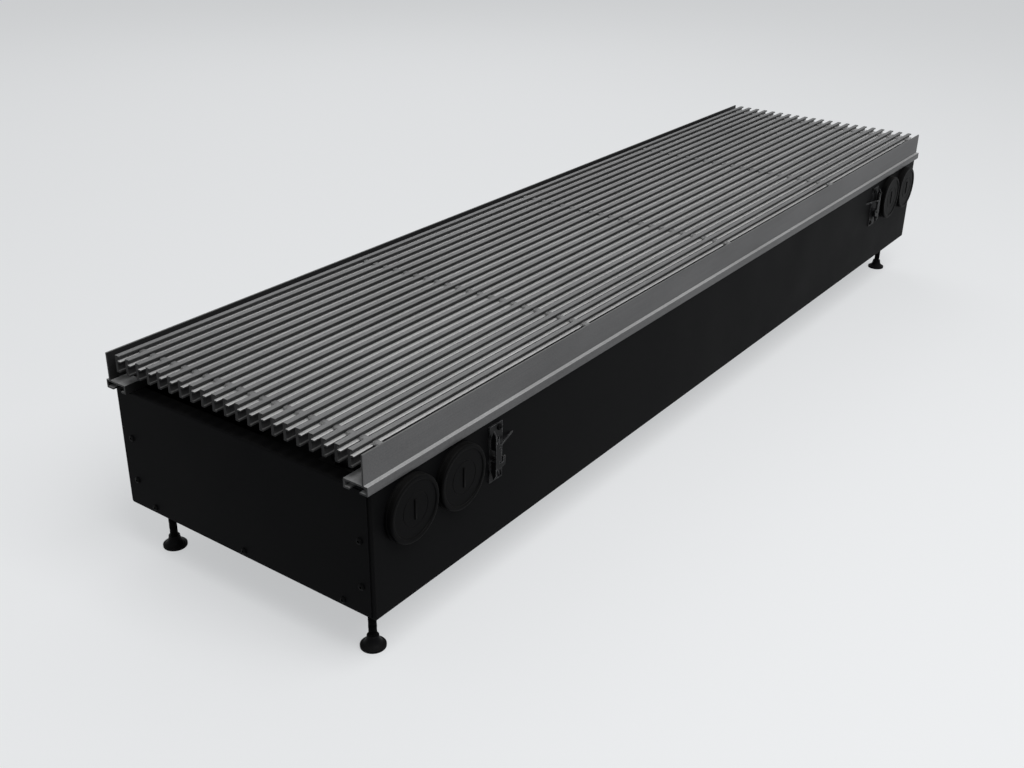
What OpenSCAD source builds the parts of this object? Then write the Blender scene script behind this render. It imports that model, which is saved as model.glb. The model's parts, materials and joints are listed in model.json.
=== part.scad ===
// Trench convector heater: a floor trough with a finned heating coil, under a linear aluminium grille.
// X runs along the trough, the long side with the blanked entries faces -Y, +Z is up.
// The origin is at foot level, in the middle of the footprint.

/* [Frame] */
// Length of the frame rails
frame_len = 1600; // [1200:50:2000]
// Width over the outer faces of the two rail webs
frame_w = 396; // [396:1:440]
// Height from foot level to the grille's top
total_h = 270; // [262:1:290]
// Wall of the aluminium rail profile
rail_t = 2.2; // [1.8:0.1:2.6]
// Height of the rail's web above its ledge
web_h = 35; // [34:1:38]
// Overall height of the rail profile
rail_h = 46; // [44:1:50]
// How far the ledge and lip stand out from the web
ledge_out = 5; // [4:0.5:7]
// How far the inner shelf reaches in from the web's outer face
shelf_in = 28; // [26:1:30]
// Width of the lip's inward return
lip_return = 11; // [8:1:12]
// Width of the hook's return
hook_return = 8; // [7:0.5:9]

/* [Grille] */
// Number of bars
bar_count = 21; // [5:2:21]
// Distance from bar to bar
bar_pitch = 18; // [17:0.5:18]
// Depth of a bar
bar_depth = 21; // [19:0.5:22]
// Width of the bar's top flange
flange_w = 6.8; // [6:0.1:7.5]
// Thickness of the top flange
flange_t = 2.2; // [1.6:0.1:2.6]
// Thickness of the bar's web
bar_web = 3.6; // [3:0.1:4]
// Drop from the bar's top to its side ledge
side_ledge_drop = 6.7; // [6:0.1:8]
// How far the side ledge stands out from the web
side_ledge_out = 5.3; // [4:0.1:6]
// Thickness of the side ledge
side_ledge_t = 2; // [1.6:0.1:2.4]
// How far the bar's foot stands out from the web
bar_foot_out = 2; // [1.5:0.1:3]
// Height of the bar's foot
bar_foot_h = 2.4; // [2:0.1:3]
// How much shorter the bars are than the frame, at each end
bar_end_gap = 2; // [1:0.5:4]
// Number of cross supports
support_count = 5; // [3:1:6]
// Distance of the outer cross supports from the frame's ends
support_inset = 34; // [30:1:60]
// Width of a cross support along the trough
support_w = 14; // [12:1:20]
// How deep the bars sit in the cross supports
seat_depth = 3; // [2:0.5:4]
// Length of a spacer block along a bar
spacer_w = 7; // [6:0.5:10]

/* [Casing] */
// Sheet thickness of trough and end walls
sheet = 1.25; // [1:0.05:1.5]
// How much wider the trough is than the frame, over its rails' webs
trough_over = 3; // [1:0.5:5]
// Inside radius of the sheet's bends
bend_r = 1.5; // [1:0.1:2]
// Width of the trough's top flanges
top_flange = 29; // [28:0.5:30]
// How far the end walls stand back from the frame's ends
end_inset = 8; // [6:1:14]
// Width of the flanges that the end walls are screwed to
end_flange = 30; // [26:1:34]
// How far the end walls stand back from the trough's sides
wall_margin = 6.5; // [5:0.5:8]

/* [Entries] */
// Outer diameter of an entry collar
collar_d = 71; // [60:1:72]
// How far the collar stands out from the trough's side
collar_out = 8; // [6:0.5:9]
// Diameter of a blanking cap
cap_d = 78; // [76:1:79]
// How far a cap stands out from the trough's side
cap_out = 11; // [10:0.5:12]
// Distance of the outer entry from the frame's end
entry_a = 64; // [60:1:70]
// Distance of the inner entry from the frame's end
entry_b = 146; // [142:1:150]
// Depth of the entries' centres below the grille's top
entry_drop = 89; // [85:1:95]

/* [Heating coil] */
// Length of the fin block
block_len = 1120; // [800:8:1200]
// Width of a fin
fin_w = 170; // [150:1:180]
// Height of a fin
fin_h = 100; // [90:1:110]
// Thickness of a fin
fin_t = 0.5; // [0.4:0.1:0.8]
// Distance from fin to fin
fin_pitch = 8; // [8:1:16]
// Outer radius of the coil's tube
tube_r = 7.5; // [7:0.5:8]
// Wall of the coil's tube
tube_t = 1; // [0.8:0.1:1.5]
// Half the distance between the tubes across the trough
tube_y = 38; // [34:1:44]
// Half the distance between the tubes, up and down
tube_z = 25; // [22:1:28]
// Height of the fin block's underside above the trough's floor
block_lift = 22; // [18:1:30]

/* [Feet] */
// Height of the trough's underside above the floor
foot_h = 66; // [60:1:86]
// Distance of the feet from the trough's ends
foot_inset_x = 30; // [26:1:60]
// Distance of the feet from the trough's sides
foot_inset_y = 34; // [32:1:60]
// Radius of a foot's pad
pad_r = 15; // [14:0.5:18]
// Radius of the foot's screw
screw_r = 5; // [4:0.5:5]
// Height of the screw's top above foot level
screw_top = 100; // [96:1:110]

/* [Hidden] */
$fn = 64;
ends = [-1, 1];
sides = [-1, 1];
corners = [[-1, -1], [1, -1], [1, 1], [-1, 1]];

// Heights
top_z = total_h;
shelf_z = top_z - web_h;
rail_foot_z = top_z - rail_h;
floor_z = foot_h + sheet;

// Places along and across
half_len = frame_len / 2;
half_w = frame_w / 2;
wall_x = half_len - end_inset;
flange_x = wall_x - sheet;
side_y = (frame_w + trough_over) / 2;
origin_y = (side_y + cap_out - half_w - ledge_out) / 2;

// Grille
strip_t = 3;
strip_gap = 24;
strip_w = 18;
strip_play = 1;
bar_top_chamfer = 0.4;
bar_near = -flange_w / 2;
bar_far = flange_w / 2;
bar_face = bar_far - bar_web;
bar_low = -bar_depth;
support_low = shelf_z + strip_t - top_z;
support_high = bar_low + seat_depth;
support_play = 1.8;
support_half = half_w - rail_t - support_play;
seat_play = 0.05;
spacer_drop = 0.8;
support_x = [for (i = [0:support_count - 1])
    -half_len + support_inset + i * (frame_len - 2 * support_inset) / (support_count - 1)];
bar_y = [for (i = [0:bar_count - 1]) ((bar_count - 1) / 2 - i) * bar_pitch];

// Screws of the casing
head_r = 4;
head_h = 2.2;
head_taper = 1;
shank_r = 2;
shank_len = 8;
shank_hole = 2.1;
wall_screw_y = side_y - 18.5;
wall_screw_z = [top_z - 110, top_z - 167];
floor_screw_z = foot_h + 8.5;
floor_screw_y = [-153, 0, 153];
floor_flange = 22;
wall_fold = 18;
wall_lift = 2;
fold_play = 1;
rivet_r = 2;
rivet_hole = 2.05;
rivet_y = half_w - shelf_in + (rail_t + hook_return) / 2;
rivet_head_r = (hook_return - rail_t) / 2 - 0.2;
rivet_head_h = 1;
rivet_tail_r = 3.5;
rivet_tail_h = 1.2;
rivet_count = 6;
rivet_inset = 60;
rivet_x = [for (i = [0:rivet_count - 1])
    -half_len + rivet_inset + i * (frame_len - 2 * rivet_inset) / (rivet_count - 1)];

// Entries
entry_x = [-half_len + entry_a, -half_len + entry_b, half_len - entry_b, half_len - entry_a];
entry_z = top_z - entry_drop;
cap_face = 2.4;
cap_play = 0.3;
cap_rim = 1;
cap_round = 2;
cap_band = 3;
grip_len = 24;
grip_t = 3;

// Heating coil
block_z = floor_z + block_lift;
coil_z = block_z + fin_h / 2;
fin_count = floor(block_len / fin_pitch) + 1;
sleeve_r = tube_r + 0.6;
plate_t = 1.5;
plate_x = block_len / 2 + 2;
plate_half = fin_w / 2 + 5;
plate_top = block_z + fin_h + 4;
plate_foot = 26;
plate_screw_y = 60;
tube_play = 0.05;
bend_x = block_len / 2 + 24;
stub_x = -block_len / 2 - 80;
union_nut_len = 12;
union_nut_r = 15.6;
union_collar_r = 12;
union_collar_len = 5;
thread_r = 13.2;
thread_len = 14;
union_seat = 2;
valve_x = -block_len / 2 - 40;
valve_r = 6.5;
valve_top = coil_z + tube_z + 24;
vent_r = 3;
vent_play = 0.05;
vent_depth = 10;
vent_neck = 2;
vent_square = 5;

// Anchors, measured from the anchor's claw side, from the trough's side and from its middle height
anchor_x = 595;
anchor_t = 2;
anchor_out = 9.7;
anchor_z = top_z - 90.5;
base_edge = 2;
base_w = 24;
base_h = 72;
claw_w = 10;
claw_tip_out = 6;
claw_tip_z = 31.5;
claw_nose_z = 25;
claw_root_z = 16;
claw_edge = 6.4;
bridge_z = 9;
hook_w = 17.5;
hook_arm = 4;
hook_top = -4.5;
hook_low = -18;
hook_h = 6.5;
brace_len = 35;
brace_low = 10.5;
brace_h = 2.5;
anchor_screw = [base_w - base_edge - 6, base_h / 2 - 6];

// Feet
foot_x = wall_x - foot_inset_x;
foot_y = side_y - foot_inset_y;
nut_r = 9.8;
nut_h = 8;
screw_play = 0.05;
foot_hole_play = 0.3;
socket_z = 3.5;
pad_h = 16;
pad_bevel = 0.8;
pad_rim_h = 4;
pad_neck_r = 7;
key_r = 2.9;
key_depth = 6;

function bar_name(i) = str("grille_bar_", i < 10 ? "0" : "", i);

// A plan drawn in Y and Z, drawn out along X between two stations
module along_x(x0, x1) {
    translate([x0, 0, 0]) rotate([90, 0, 90]) linear_extrude(height = x1 - x0) children();
}

// A plan drawn in X and Z, drawn out along Y between two stations
module along_y(y0, y1) {
    translate([0, y1, 0]) rotate([90, 0, 0]) linear_extrude(height = y1 - y0) children();
}

// A rectangle given by its low and high corners
module field(low, high) {
    translate(low) square([high[0] - low[0], high[1] - low[1]]);
}

// A block given by its low and high corners
module block(low, high) {
    translate(low) cube([high[0] - low[0], high[1] - low[1], high[2] - low[2]]);
}

// A quarter ring of sheet, its centre of bend at the origin, in the quadrant where x and y are below 0
module sheet_bend() {
    intersection() {
        difference() {
            circle(bend_r + sheet);
            circle(bend_r);
        }
        field([-bend_r - sheet, -bend_r - sheet], [0, 0]);
    }
}

// A round hole's tool along Y
module hole_y(x, z, r, y0, y1) {
    translate([x, y1, z]) rotate([90, 0, 0]) cylinder(r = r, h = y1 - y0);
}

// A round hole's tool along X
module hole_x(y, z, r, x0, x1) {
    translate([x0, y, z]) rotate([0, 90, 0]) cylinder(r = r, h = x1 - x0);
}

// Half of the trough's folded section: floor, side and top flange
module trough_half() {
    bend = bend_r + sheet;
    field([-side_y + bend, foot_h], [0.01, floor_z]);
    field([-side_y, foot_h + bend], [-side_y + sheet, rail_foot_z - bend]);
    field([-side_y + bend, rail_foot_z - sheet], [-side_y + top_flange, rail_foot_z]);
    translate([-side_y + bend, foot_h + bend]) sheet_bend();
    translate([-side_y + bend, rail_foot_z - bend]) mirror([0, 1]) sheet_bend();
}

// The trough's outline from outside, with the round corners of its bends
module trough_outline() {
    bend = bend_r + sheet;
    field([-side_y + bend, foot_h], [side_y - bend, rail_foot_z]);
    field([-side_y, foot_h + bend], [side_y, rail_foot_z - bend]);
    for (s = sides, z = [foot_h + bend, rail_foot_z - bend])
        translate([s * (side_y - bend), z]) circle(bend);
}

// The flanges at the +X end of the trough, folded inwards, that the end wall is screwed to
module end_flanges() {
    along_x(flange_x - sheet, flange_x) difference() {
        trough_outline();
        field([-side_y + end_flange, foot_h + floor_flange], [side_y - end_flange, top_z]);
        for (s = sides, z = wall_screw_z)
            translate([s * wall_screw_y, z]) circle(shank_hole);
        for (y = floor_screw_y)
            translate([y, floor_screw_z]) circle(shank_hole);
    }
}

// The folded trough, with collared entries in its near side and holes in its floor
module trough() {
    collar_r = collar_d / 2;
    color("dimgray") difference() {
        union() {
            along_x(-flange_x, flange_x) {
                trough_half();
                mirror([1, 0]) trough_half();
            }
            end_flanges();
            mirror([1, 0, 0]) end_flanges();
            for (x = entry_x)
                hole_y(x, entry_z, collar_r, -side_y - collar_out, -side_y + sheet);
        }
        for (x = entry_x)
            hole_y(x, entry_z, collar_r - sheet, -side_y - collar_out - 1, -side_y + 2 * sheet);
        for (c = corners)
            translate([c[0] * foot_x, c[1] * foot_y, foot_h - 1])
                cylinder(r = screw_r + foot_hole_play, h = sheet + 2);
        for (e = ends, s = sides)
            translate([e * (plate_x + plate_foot / 2), s * plate_screw_y, foot_h - 1])
                cylinder(r = shank_hole, h = sheet + 2);
        for (e = ends, s = sides)
            hole_y(e * (anchor_x - anchor_screw[0]), anchor_z + s * anchor_screw[1], shank_hole,
                   -side_y - 1, -side_y + 2 * sheet);
        for (s = sides, x = rivet_x)
            translate([x, s * rivet_y, rail_foot_z - 2 * sheet]) cylinder(r = rivet_hole, h = 3 * sheet);
    }
}

// The end wall at +X: a flat panel with its top edge folded inwards
module end_wall() {
    half = side_y - wall_margin;
    fold_half = side_y - top_flange - fold_play;
    bend = bend_r + sheet;
    difference() {
        union() {
            block([flange_x, -half, foot_h + wall_lift], [wall_x, half, rail_foot_z - bend]);
            along_y(-fold_half, fold_half) {
                translate([wall_x - bend, rail_foot_z - bend]) rotate(180) sheet_bend();
                field([wall_x - wall_fold, rail_foot_z - sheet], [wall_x - bend, rail_foot_z]);
            }
        }
        for (s = sides, z = wall_screw_z)
            hole_x(s * wall_screw_y, z, shank_hole, flange_x - 1, wall_x + 1);
        for (y = floor_screw_y)
            hole_x(y, floor_screw_z, shank_hole, flange_x - 1, wall_x + 1);
    }
}

module end_wall_near() {
    color("dimgray") mirror([1, 0, 0]) end_wall();
}

module end_wall_far() {
    color("dimgray") end_wall();
}

// Section of the near rail: web, ledge with shelf, lip with its return, and hook
module rail_section() {
    low = rail_foot_z;
    plate = shelf_z - rail_t;
    hook_y = -half_w + shelf_in;
    field([-half_w, plate], [-half_w + rail_t, top_z]);
    field([-half_w - ledge_out, plate], [hook_y, shelf_z]);
    field([-half_w - ledge_out, low], [-half_w - ledge_out + rail_t, shelf_z]);
    field([-half_w - ledge_out, low], [-half_w - ledge_out + lip_return, low + rail_t]);
    field([hook_y - rail_t, low], [hook_y, shelf_z]);
    field([hook_y - hook_return, low], [hook_y, low + rail_t]);
}

module frame_rail() {
    difference() {
        along_x(-half_len, half_len) rail_section();
        for (x = rivet_x)
            translate([x, -rivet_y, rail_foot_z - 1]) cylinder(r = rivet_hole, h = rail_t + 2);
    }
}

module frame_rail_near() {
    color("silver") frame_rail();
}

module frame_rail_far() {
    color("silver") mirror([0, 1, 0]) frame_rail();
}

// Rubber strip on the rail's shelf, under the cross supports
module damping_strip() {
    y0 = -half_w + rail_t + strip_play;
    block([-half_len + strip_gap, y0, shelf_z], [half_len - strip_gap, y0 + strip_w, shelf_z + strip_t]);
}

module damping_strip_near() {
    color("black") damping_strip();
}

module damping_strip_far() {
    color("black") mirror([0, 1, 0]) damping_strip();
}

// Section of a bar about the middle of its top: flange, web, side ledge and foot
module bar_section() {
    c = bar_top_chamfer;
    polygon([[bar_near + c, 0], [bar_far - c, 0], [bar_far, -c], [bar_far, bar_low],
             [bar_face - bar_foot_out, bar_low], [bar_face - bar_foot_out, bar_low + bar_foot_h],
             [bar_face, bar_low + bar_foot_h], [bar_face, -side_ledge_drop - side_ledge_t],
             [bar_face - side_ledge_out, -side_ledge_drop - side_ledge_t],
             [bar_face - side_ledge_out, -side_ledge_drop], [bar_face, -side_ledge_drop],
             [bar_face, -flange_t], [bar_near, -flange_t], [bar_near, -c]]);
}

module grille_bar(i) {
    end = half_len - bar_end_gap;
    color("silver") translate([0, bar_y[i - 1], top_z]) along_x(-end, end) bar_section();
}

// A cross support: a bar of aluminium with a seat for each grille bar's foot
module cross_support(i) {
    color("gray") translate([0, 0, top_z])
        along_x(support_x[i - 1] - support_w / 2, support_x[i - 1] + support_w / 2)
            difference() {
                field([-support_half, support_low], [support_half, support_high]);
                for (y = bar_y)
                    field([y + bar_face - bar_foot_out - seat_play, bar_low],
                          [y + bar_far + seat_play, support_high + 1]);
            }
}

// Blocks that bridge from each bar's side ledge to the next bar, over every cross support
module bar_spacers() {
    color("silver") for (x = support_x, y = bar_y)
        block([x - spacer_w / 2, y + bar_far - bar_pitch, top_z - side_ledge_drop],
              [x + spacer_w / 2, y + bar_near, top_z - spacer_drop]);
}

// The places of the four tubes, in Y and Z
tube_at = [for (y = [-tube_y, tube_y], z = [coil_z - tube_z, coil_z + tube_z]) [y, z]];

// Fins with drawn collars that stack into sleeves round the tubes
module fin_block() {
    half = block_len / 2;
    color("darkslategray") difference() {
        union() {
            for (i = [0:fin_count - 1])
                block([-half + i * fin_pitch, -fin_w / 2, block_z],
                      [-half + i * fin_pitch + fin_t, fin_w / 2, block_z + fin_h]);
            for (t = tube_at)
                hole_x(t[0], t[1], sleeve_r, -half, -half + (fin_count - 1) * fin_pitch + fin_t);
        }
        for (t = tube_at)
            hole_x(t[0], t[1], tube_r + tube_play, -half - 1, half + fin_pitch);
    }
}

// A straight run of tube along X
module tube_run(y, z, x0, x1) {
    difference() {
        hole_x(y, z, tube_r, x0, x1);
        hole_x(y, z, tube_r - tube_t, x0 - 1, x1 + 1);
    }
}

// A half turn of tube, in the X and Y plane, bulging towards +X
module tube_turn(radius) {
    rotate([0, 0, -90]) rotate_extrude(angle = 180) translate([radius, 0]) difference() {
        circle(tube_r);
        circle(tube_r - tube_t);
    }
}

// The coil, brazed into one serpentine: in at the top, two turns at the far end, one at the near end
module heater_coil() {
    color("darkslategray") {
        for (s = sides) {
            tube_run(s * tube_y, coil_z + tube_z, stub_x, bend_x);
            tube_run(s * tube_y, coil_z - tube_z, -bend_x, bend_x);
            translate([bend_x, s * tube_y, coil_z]) rotate([90, 0, 0]) tube_turn(tube_z);
        }
        translate([-bend_x, 0, coil_z - tube_z]) rotate([0, 0, 180]) tube_turn(tube_y);
    }
}

// A folded plate that carries the coil at its end of the fin block
module coil_bracket() {
    difference() {
        union() {
            block([plate_x, -plate_half, floor_z], [plate_x + plate_t, plate_half, plate_top]);
            block([plate_x, -plate_half, floor_z], [plate_x + plate_foot, plate_half, floor_z + plate_t]);
        }
        for (t = tube_at)
            hole_x(t[0], t[1], tube_r + tube_play, plate_x - 1, plate_x + plate_t + 1);
        for (s = sides)
            translate([plate_x + plate_foot / 2, s * plate_screw_y, floor_z - 1])
                cylinder(r = shank_hole, h = plate_t + 2);
    }
}

module coil_bracket_near() {
    color("darkslategray") mirror([1, 0, 0]) coil_bracket();
}

module coil_bracket_far() {
    color("darkslategray") coil_bracket();
}

// A brass union on a tube's end: clamping nut, collar and threaded end
module pipe_union(y) {
    seat = stub_x - union_seat;
    color("gold") difference() {
        union() {
            translate([seat + union_collar_len, y, coil_z + tube_z]) rotate([0, 90, 0])
                cylinder(r = union_nut_r, h = union_nut_len, $fn = 6);
            hole_x(y, coil_z + tube_z, union_collar_r, seat, seat + union_collar_len);
            hole_x(y, coil_z + tube_z, thread_r, seat - thread_len, seat);
        }
        hole_x(y, coil_z + tube_z, tube_r + tube_play, stub_x, stub_x + 40);
        hole_x(y, coil_z + tube_z, tube_r - tube_t, seat - thread_len - 1, stub_x + 1);
    }
}

module flow_union() {
    pipe_union(-tube_y);
}

module return_union() {
    pipe_union(tube_y);
}

// The bleed valve's body, saddled on the return tube
module bleed_valve() {
    color("goldenrod") difference() {
        translate([valve_x, tube_y, coil_z + tube_z]) cylinder(r = valve_r, h = valve_top - coil_z - tube_z);
        hole_x(tube_y, coil_z + tube_z, tube_r + tube_play, valve_x - 20, valve_x + 20);
        translate([valve_x, tube_y, valve_top - vent_depth])
            cylinder(r = vent_r + vent_play, h = vent_depth + 1);
    }
}

// The bleed screw, with a square head for a radiator key
module bleed_screw() {
    color("silver") translate([valve_x, tube_y, valve_top - vent_depth]) {
        cylinder(r = vent_r, h = vent_depth + vent_neck);
        translate([-vent_square / 2, -vent_square / 2, vent_depth + vent_neck]) cube(vent_square);
    }
}

// A blanking cap: a cup that slips over the entry's collar, with a rim, a sunk face and a grip
module entry_cap(i) {
    r = cap_d / 2;
    inner = collar_d / 2 + cap_play;
    color("black") translate([entry_x[i - 1], -side_y - cap_play, entry_z]) rotate([90, 0, 0]) {
        depth = cap_out - cap_play;
        rotate_extrude() polygon(concat(
            [[0, depth - cap_face], [inner, depth - cap_face], [inner, 0], [r, 0]],
            [for (a = [0:15:90])
                [r - cap_round + cap_round * cos(a), depth - cap_round + cap_round * sin(a)]],
            [[r - cap_round - cap_band, depth], [r - cap_round - cap_band - cap_rim, depth - cap_rim],
             [0, depth - cap_rim]]));
        translate([-grip_t / 2, -grip_len / 2, depth - cap_rim - 0.01])
            cube([grip_t, grip_len, cap_rim + 0.01]);
    }
}

// An anchor that keys the casing into the floor: a plate with a bridge, two splayed claws, a hook and a brace
module anchor() {
    out = -side_y - anchor_out;
    translate([0, 0, anchor_z]) difference() {
        union() {
            block([-base_edge, -side_y - anchor_t, -base_h / 2],
                  [base_w - base_edge, -side_y, base_h / 2]);
            block([0, out, -bridge_z], [claw_w, out + anchor_t, bridge_z]);
            for (s = sides)
                flipped(s) {
                    block([0, out, bridge_z - anchor_t], [claw_w, -side_y - anchor_t, bridge_z]);
                    anchor_claw(out);
                }
            along_y(out, out + anchor_t) polygon([
                [claw_w / 2, hook_low], [claw_w, hook_low], [hook_w, hook_low + anchor_t],
                [hook_w, hook_top], [hook_w - hook_arm, hook_top],
                [hook_w - hook_arm, hook_low + hook_h], [claw_w / 2, hook_low + hook_h]]);
            translate([0, 0, brace_low]) linear_extrude(height = brace_h) polygon([
                [claw_edge - anchor_t, out], [claw_w, out], [claw_w + brace_len, -side_y],
                [claw_w + brace_len - 2 * anchor_t, -side_y], [claw_w, out + anchor_t],
                [claw_edge - anchor_t, out + anchor_t]]);
        }
        for (s = sides)
            hole_y(anchor_screw[0], s * anchor_screw[1], shank_hole, -side_y - anchor_t - 1, -side_y + 1);
    }
}

// A claw above the bridge: a gusset that leans outwards as it rises, with a tapered flange on its edge
module anchor_claw(out) {
    along_x(0, anchor_t) polygon([
        [-side_y, bridge_z - anchor_t], [-side_y, claw_root_z], [-side_y - claw_tip_out, claw_tip_z],
        [out, claw_nose_z], [out, bridge_z - anchor_t]]);
    along_y(out, out + anchor_t) polygon([
        [0, bridge_z - anchor_t], [claw_edge, bridge_z - anchor_t],
        [claw_edge, claw_nose_z], [0, bridge_z + anchor_t]]);
}

// Turned upside down where the sign is negative
module flipped(s) {
    mirror([0, 0, s < 0 ? 1 : 0]) children();
}

module anchor_near() {
    color("dimgray") translate([-anchor_x, 0, 0]) anchor();
}

module anchor_far() {
    color("dimgray") mirror([1, 0, 0]) translate([-anchor_x, 0, 0]) anchor();
}

// A levelling foot's pad: a flared base with a socket for the screw
module foot_pad(i) {
    bore = screw_r + screw_play;
    color("black") translate([corners[i - 1][0] * foot_x, corners[i - 1][1] * foot_y, 0])
        rotate_extrude() polygon(concat(
            [[0, 0], [pad_r - pad_bevel, 0], [pad_r, pad_bevel]],
            [for (a = [90:-15:0])
                [pad_r - (pad_r - pad_neck_r) * cos(a), pad_h - (pad_h - pad_rim_h) * sin(a)]],
            [[bore, pad_h], [bore, socket_z], [0, socket_z]]));
}

// A levelling foot's screw, with a hexagon socket at its top that is turned from inside the trough
module foot_screw(i) {
    color("dimgray") translate([corners[i - 1][0] * foot_x, corners[i - 1][1] * foot_y, 0]) difference() {
        translate([0, 0, socket_z]) cylinder(r = screw_r, h = screw_top - socket_z);
        translate([0, 0, screw_top - key_depth]) cylinder(r = key_r, h = key_depth + 1, $fn = 6);
    }
}

// The nuts that hold the foot screws: one above and one below the trough's floor at each corner
module foot_nuts() {
    color("gray") for (c = corners, z = [foot_h - nut_h, floor_z])
        translate([c[0] * foot_x, c[1] * foot_y, z]) difference() {
            cylinder(r = nut_r, h = nut_h, $fn = 6);
            translate([0, 0, -1]) cylinder(r = screw_r + screw_play, h = nut_h + 2);
        }
}

// A pan-head screw with its head's underside at the origin, pointing down
module pan_screw() {
    translate([0, 0, -shank_len]) cylinder(r = shank_r, h = shank_len);
    cylinder(r1 = head_r, r2 = head_r - head_taper, h = head_h);
}

// The screws of the end walls, coil brackets and anchors
module casing_screws() {
    color("black") {
        for (e = ends) {
            for (s = sides, z = wall_screw_z)
                translate([e * wall_x, s * wall_screw_y, z]) rotate([0, e * 90, 0]) pan_screw();
            for (y = floor_screw_y)
                translate([e * wall_x, y, floor_screw_z]) rotate([0, e * 90, 0]) pan_screw();
            for (s = sides)
                translate([e * (plate_x + plate_foot / 2), s * plate_screw_y, floor_z + plate_t]) pan_screw();
            for (s = sides)
                translate([e * (anchor_x - anchor_screw[0]), -side_y - anchor_t,
                           anchor_z + s * anchor_screw[1]]) rotate([90, 0, 0]) pan_screw();
        }
    }
}

// The rivets that hold each rail down on the trough's flange
module rail_rivets() {
    color("gray") for (s = sides, x = rivet_x)
        translate([x, s * rivet_y, rail_foot_z]) {
            translate([0, 0, -sheet]) cylinder(r = rivet_r, h = sheet + rail_t);
            translate([0, 0, rail_t]) cylinder(r1 = rivet_head_r, r2 = rivet_r, h = rivet_head_h);
            translate([0, 0, -sheet - rivet_tail_h])
                cylinder(r1 = rivet_r, r2 = rivet_tail_r, h = rivet_tail_h);
        }
}

// Brings the casing's middle to the middle of the whole footprint
module place() {
    translate([0, origin_y, 0]) children();
}

place() trough();
place() end_wall_near();
place() end_wall_far();
place() frame_rail_near();
place() frame_rail_far();
place() damping_strip_near();
place() damping_strip_far();
for (i = [1:bar_count])
    place() grille_bar(i);
for (i = [1:support_count])
    place() cross_support(i);
place() bar_spacers();
place() fin_block();
place() heater_coil();
place() coil_bracket_near();
place() coil_bracket_far();
place() flow_union();
place() return_union();
place() bleed_valve();
place() bleed_screw();
for (i = [1:4]) {
    place() entry_cap(i);
    place() foot_pad(i);
    place() foot_screw(i);
}
place() anchor_near();
place() anchor_far();
place() foot_nuts();
place() casing_screws();
place() rail_rivets();
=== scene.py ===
"""Dresses the trench convector heater: pieces, finishes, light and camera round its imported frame."""

import json
import math

import bmesh
import bpy
from bpy.props import FloatProperty, FloatVectorProperty, PointerProperty
from mathutils import Matrix, Vector


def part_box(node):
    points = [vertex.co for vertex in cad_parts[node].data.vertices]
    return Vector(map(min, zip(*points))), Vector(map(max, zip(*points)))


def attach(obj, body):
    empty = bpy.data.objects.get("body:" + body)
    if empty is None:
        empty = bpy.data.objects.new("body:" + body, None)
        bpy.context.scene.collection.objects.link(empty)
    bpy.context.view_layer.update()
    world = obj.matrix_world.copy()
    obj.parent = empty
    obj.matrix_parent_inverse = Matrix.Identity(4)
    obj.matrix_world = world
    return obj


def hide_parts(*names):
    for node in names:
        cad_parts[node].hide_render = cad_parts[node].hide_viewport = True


bl_info = {
    "name": "Trench Convector Heater",
    "version": (1, 0, 0),
    "blender": (4, 5, 0),
    "location": "View3D > Sidebar > Trench Heater",
    "description": "Builds the visible pieces of a floor trough heater with a linear grille",
    "category": "Object",
}

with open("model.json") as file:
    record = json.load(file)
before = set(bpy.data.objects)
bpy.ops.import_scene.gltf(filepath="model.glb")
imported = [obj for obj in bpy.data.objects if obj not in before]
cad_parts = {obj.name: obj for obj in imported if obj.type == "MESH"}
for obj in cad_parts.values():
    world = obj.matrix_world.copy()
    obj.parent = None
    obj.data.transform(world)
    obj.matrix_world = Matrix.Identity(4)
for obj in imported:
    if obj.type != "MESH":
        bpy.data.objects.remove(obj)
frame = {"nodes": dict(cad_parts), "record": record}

MM = 0.001
QUARTER = math.radians(90)
# Edges sharper than this stay sharp, on most pieces and on the threaded screws
SMOOTH_ANGLE = math.radians(32)
THREAD_ANGLE = math.radians(25)
# Vertices closer than this become one
MERGE = 1e-6
# The radius that a profile's point on the axis gets, so that its ring has an area
AXIS = 0.02 * MM
# How deep the painted shade on the tops of bars and rails reaches down
TOP_SHADE_DEPTH = 0.4 * MM
# Facets round a turned form, and round a cap, a small form and a rivet
ROUND_STEPS = 48
CAP_STEPS = 72
SMALL_STEPS = 24
RIVET_STEPS = 20
# Facets of a small rounded corner
CORNER_STEPS = 3
STRIP_GROOVES = 4
FIN_RIBS = 14
FLOAT = "NodeSocketFloat"
COLOUR = "NodeSocketColor"
INTEGER = "NodeSocketInt"
OBJECT = "NodeSocketObject"
MATERIAL = "NodeSocketMaterial"
GEOMETRY = "NodeSocketGeometry"
# A white that leans a little to blue
STUDIO_WHITE = (0.97, 0.985, 1.0, 1.0)


def nodes_named(start):
    """The names of the CAD nodes that begin with a word, in order."""
    return sorted(name for name in frame["nodes"] if name.startswith(start))


BARS = nodes_named("grille_bar_")
SUPPORTS = nodes_named("cross_support_")
CAPS = nodes_named("entry_cap_")
PADS = nodes_named("foot_pad_")
SCREWS = nodes_named("foot_screw_")
BODY_OF = {node: body for body, nodes in frame["record"]["behaviour"]["bodies"].items() for node in nodes}


# Sizes and colours that a user would change

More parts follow.
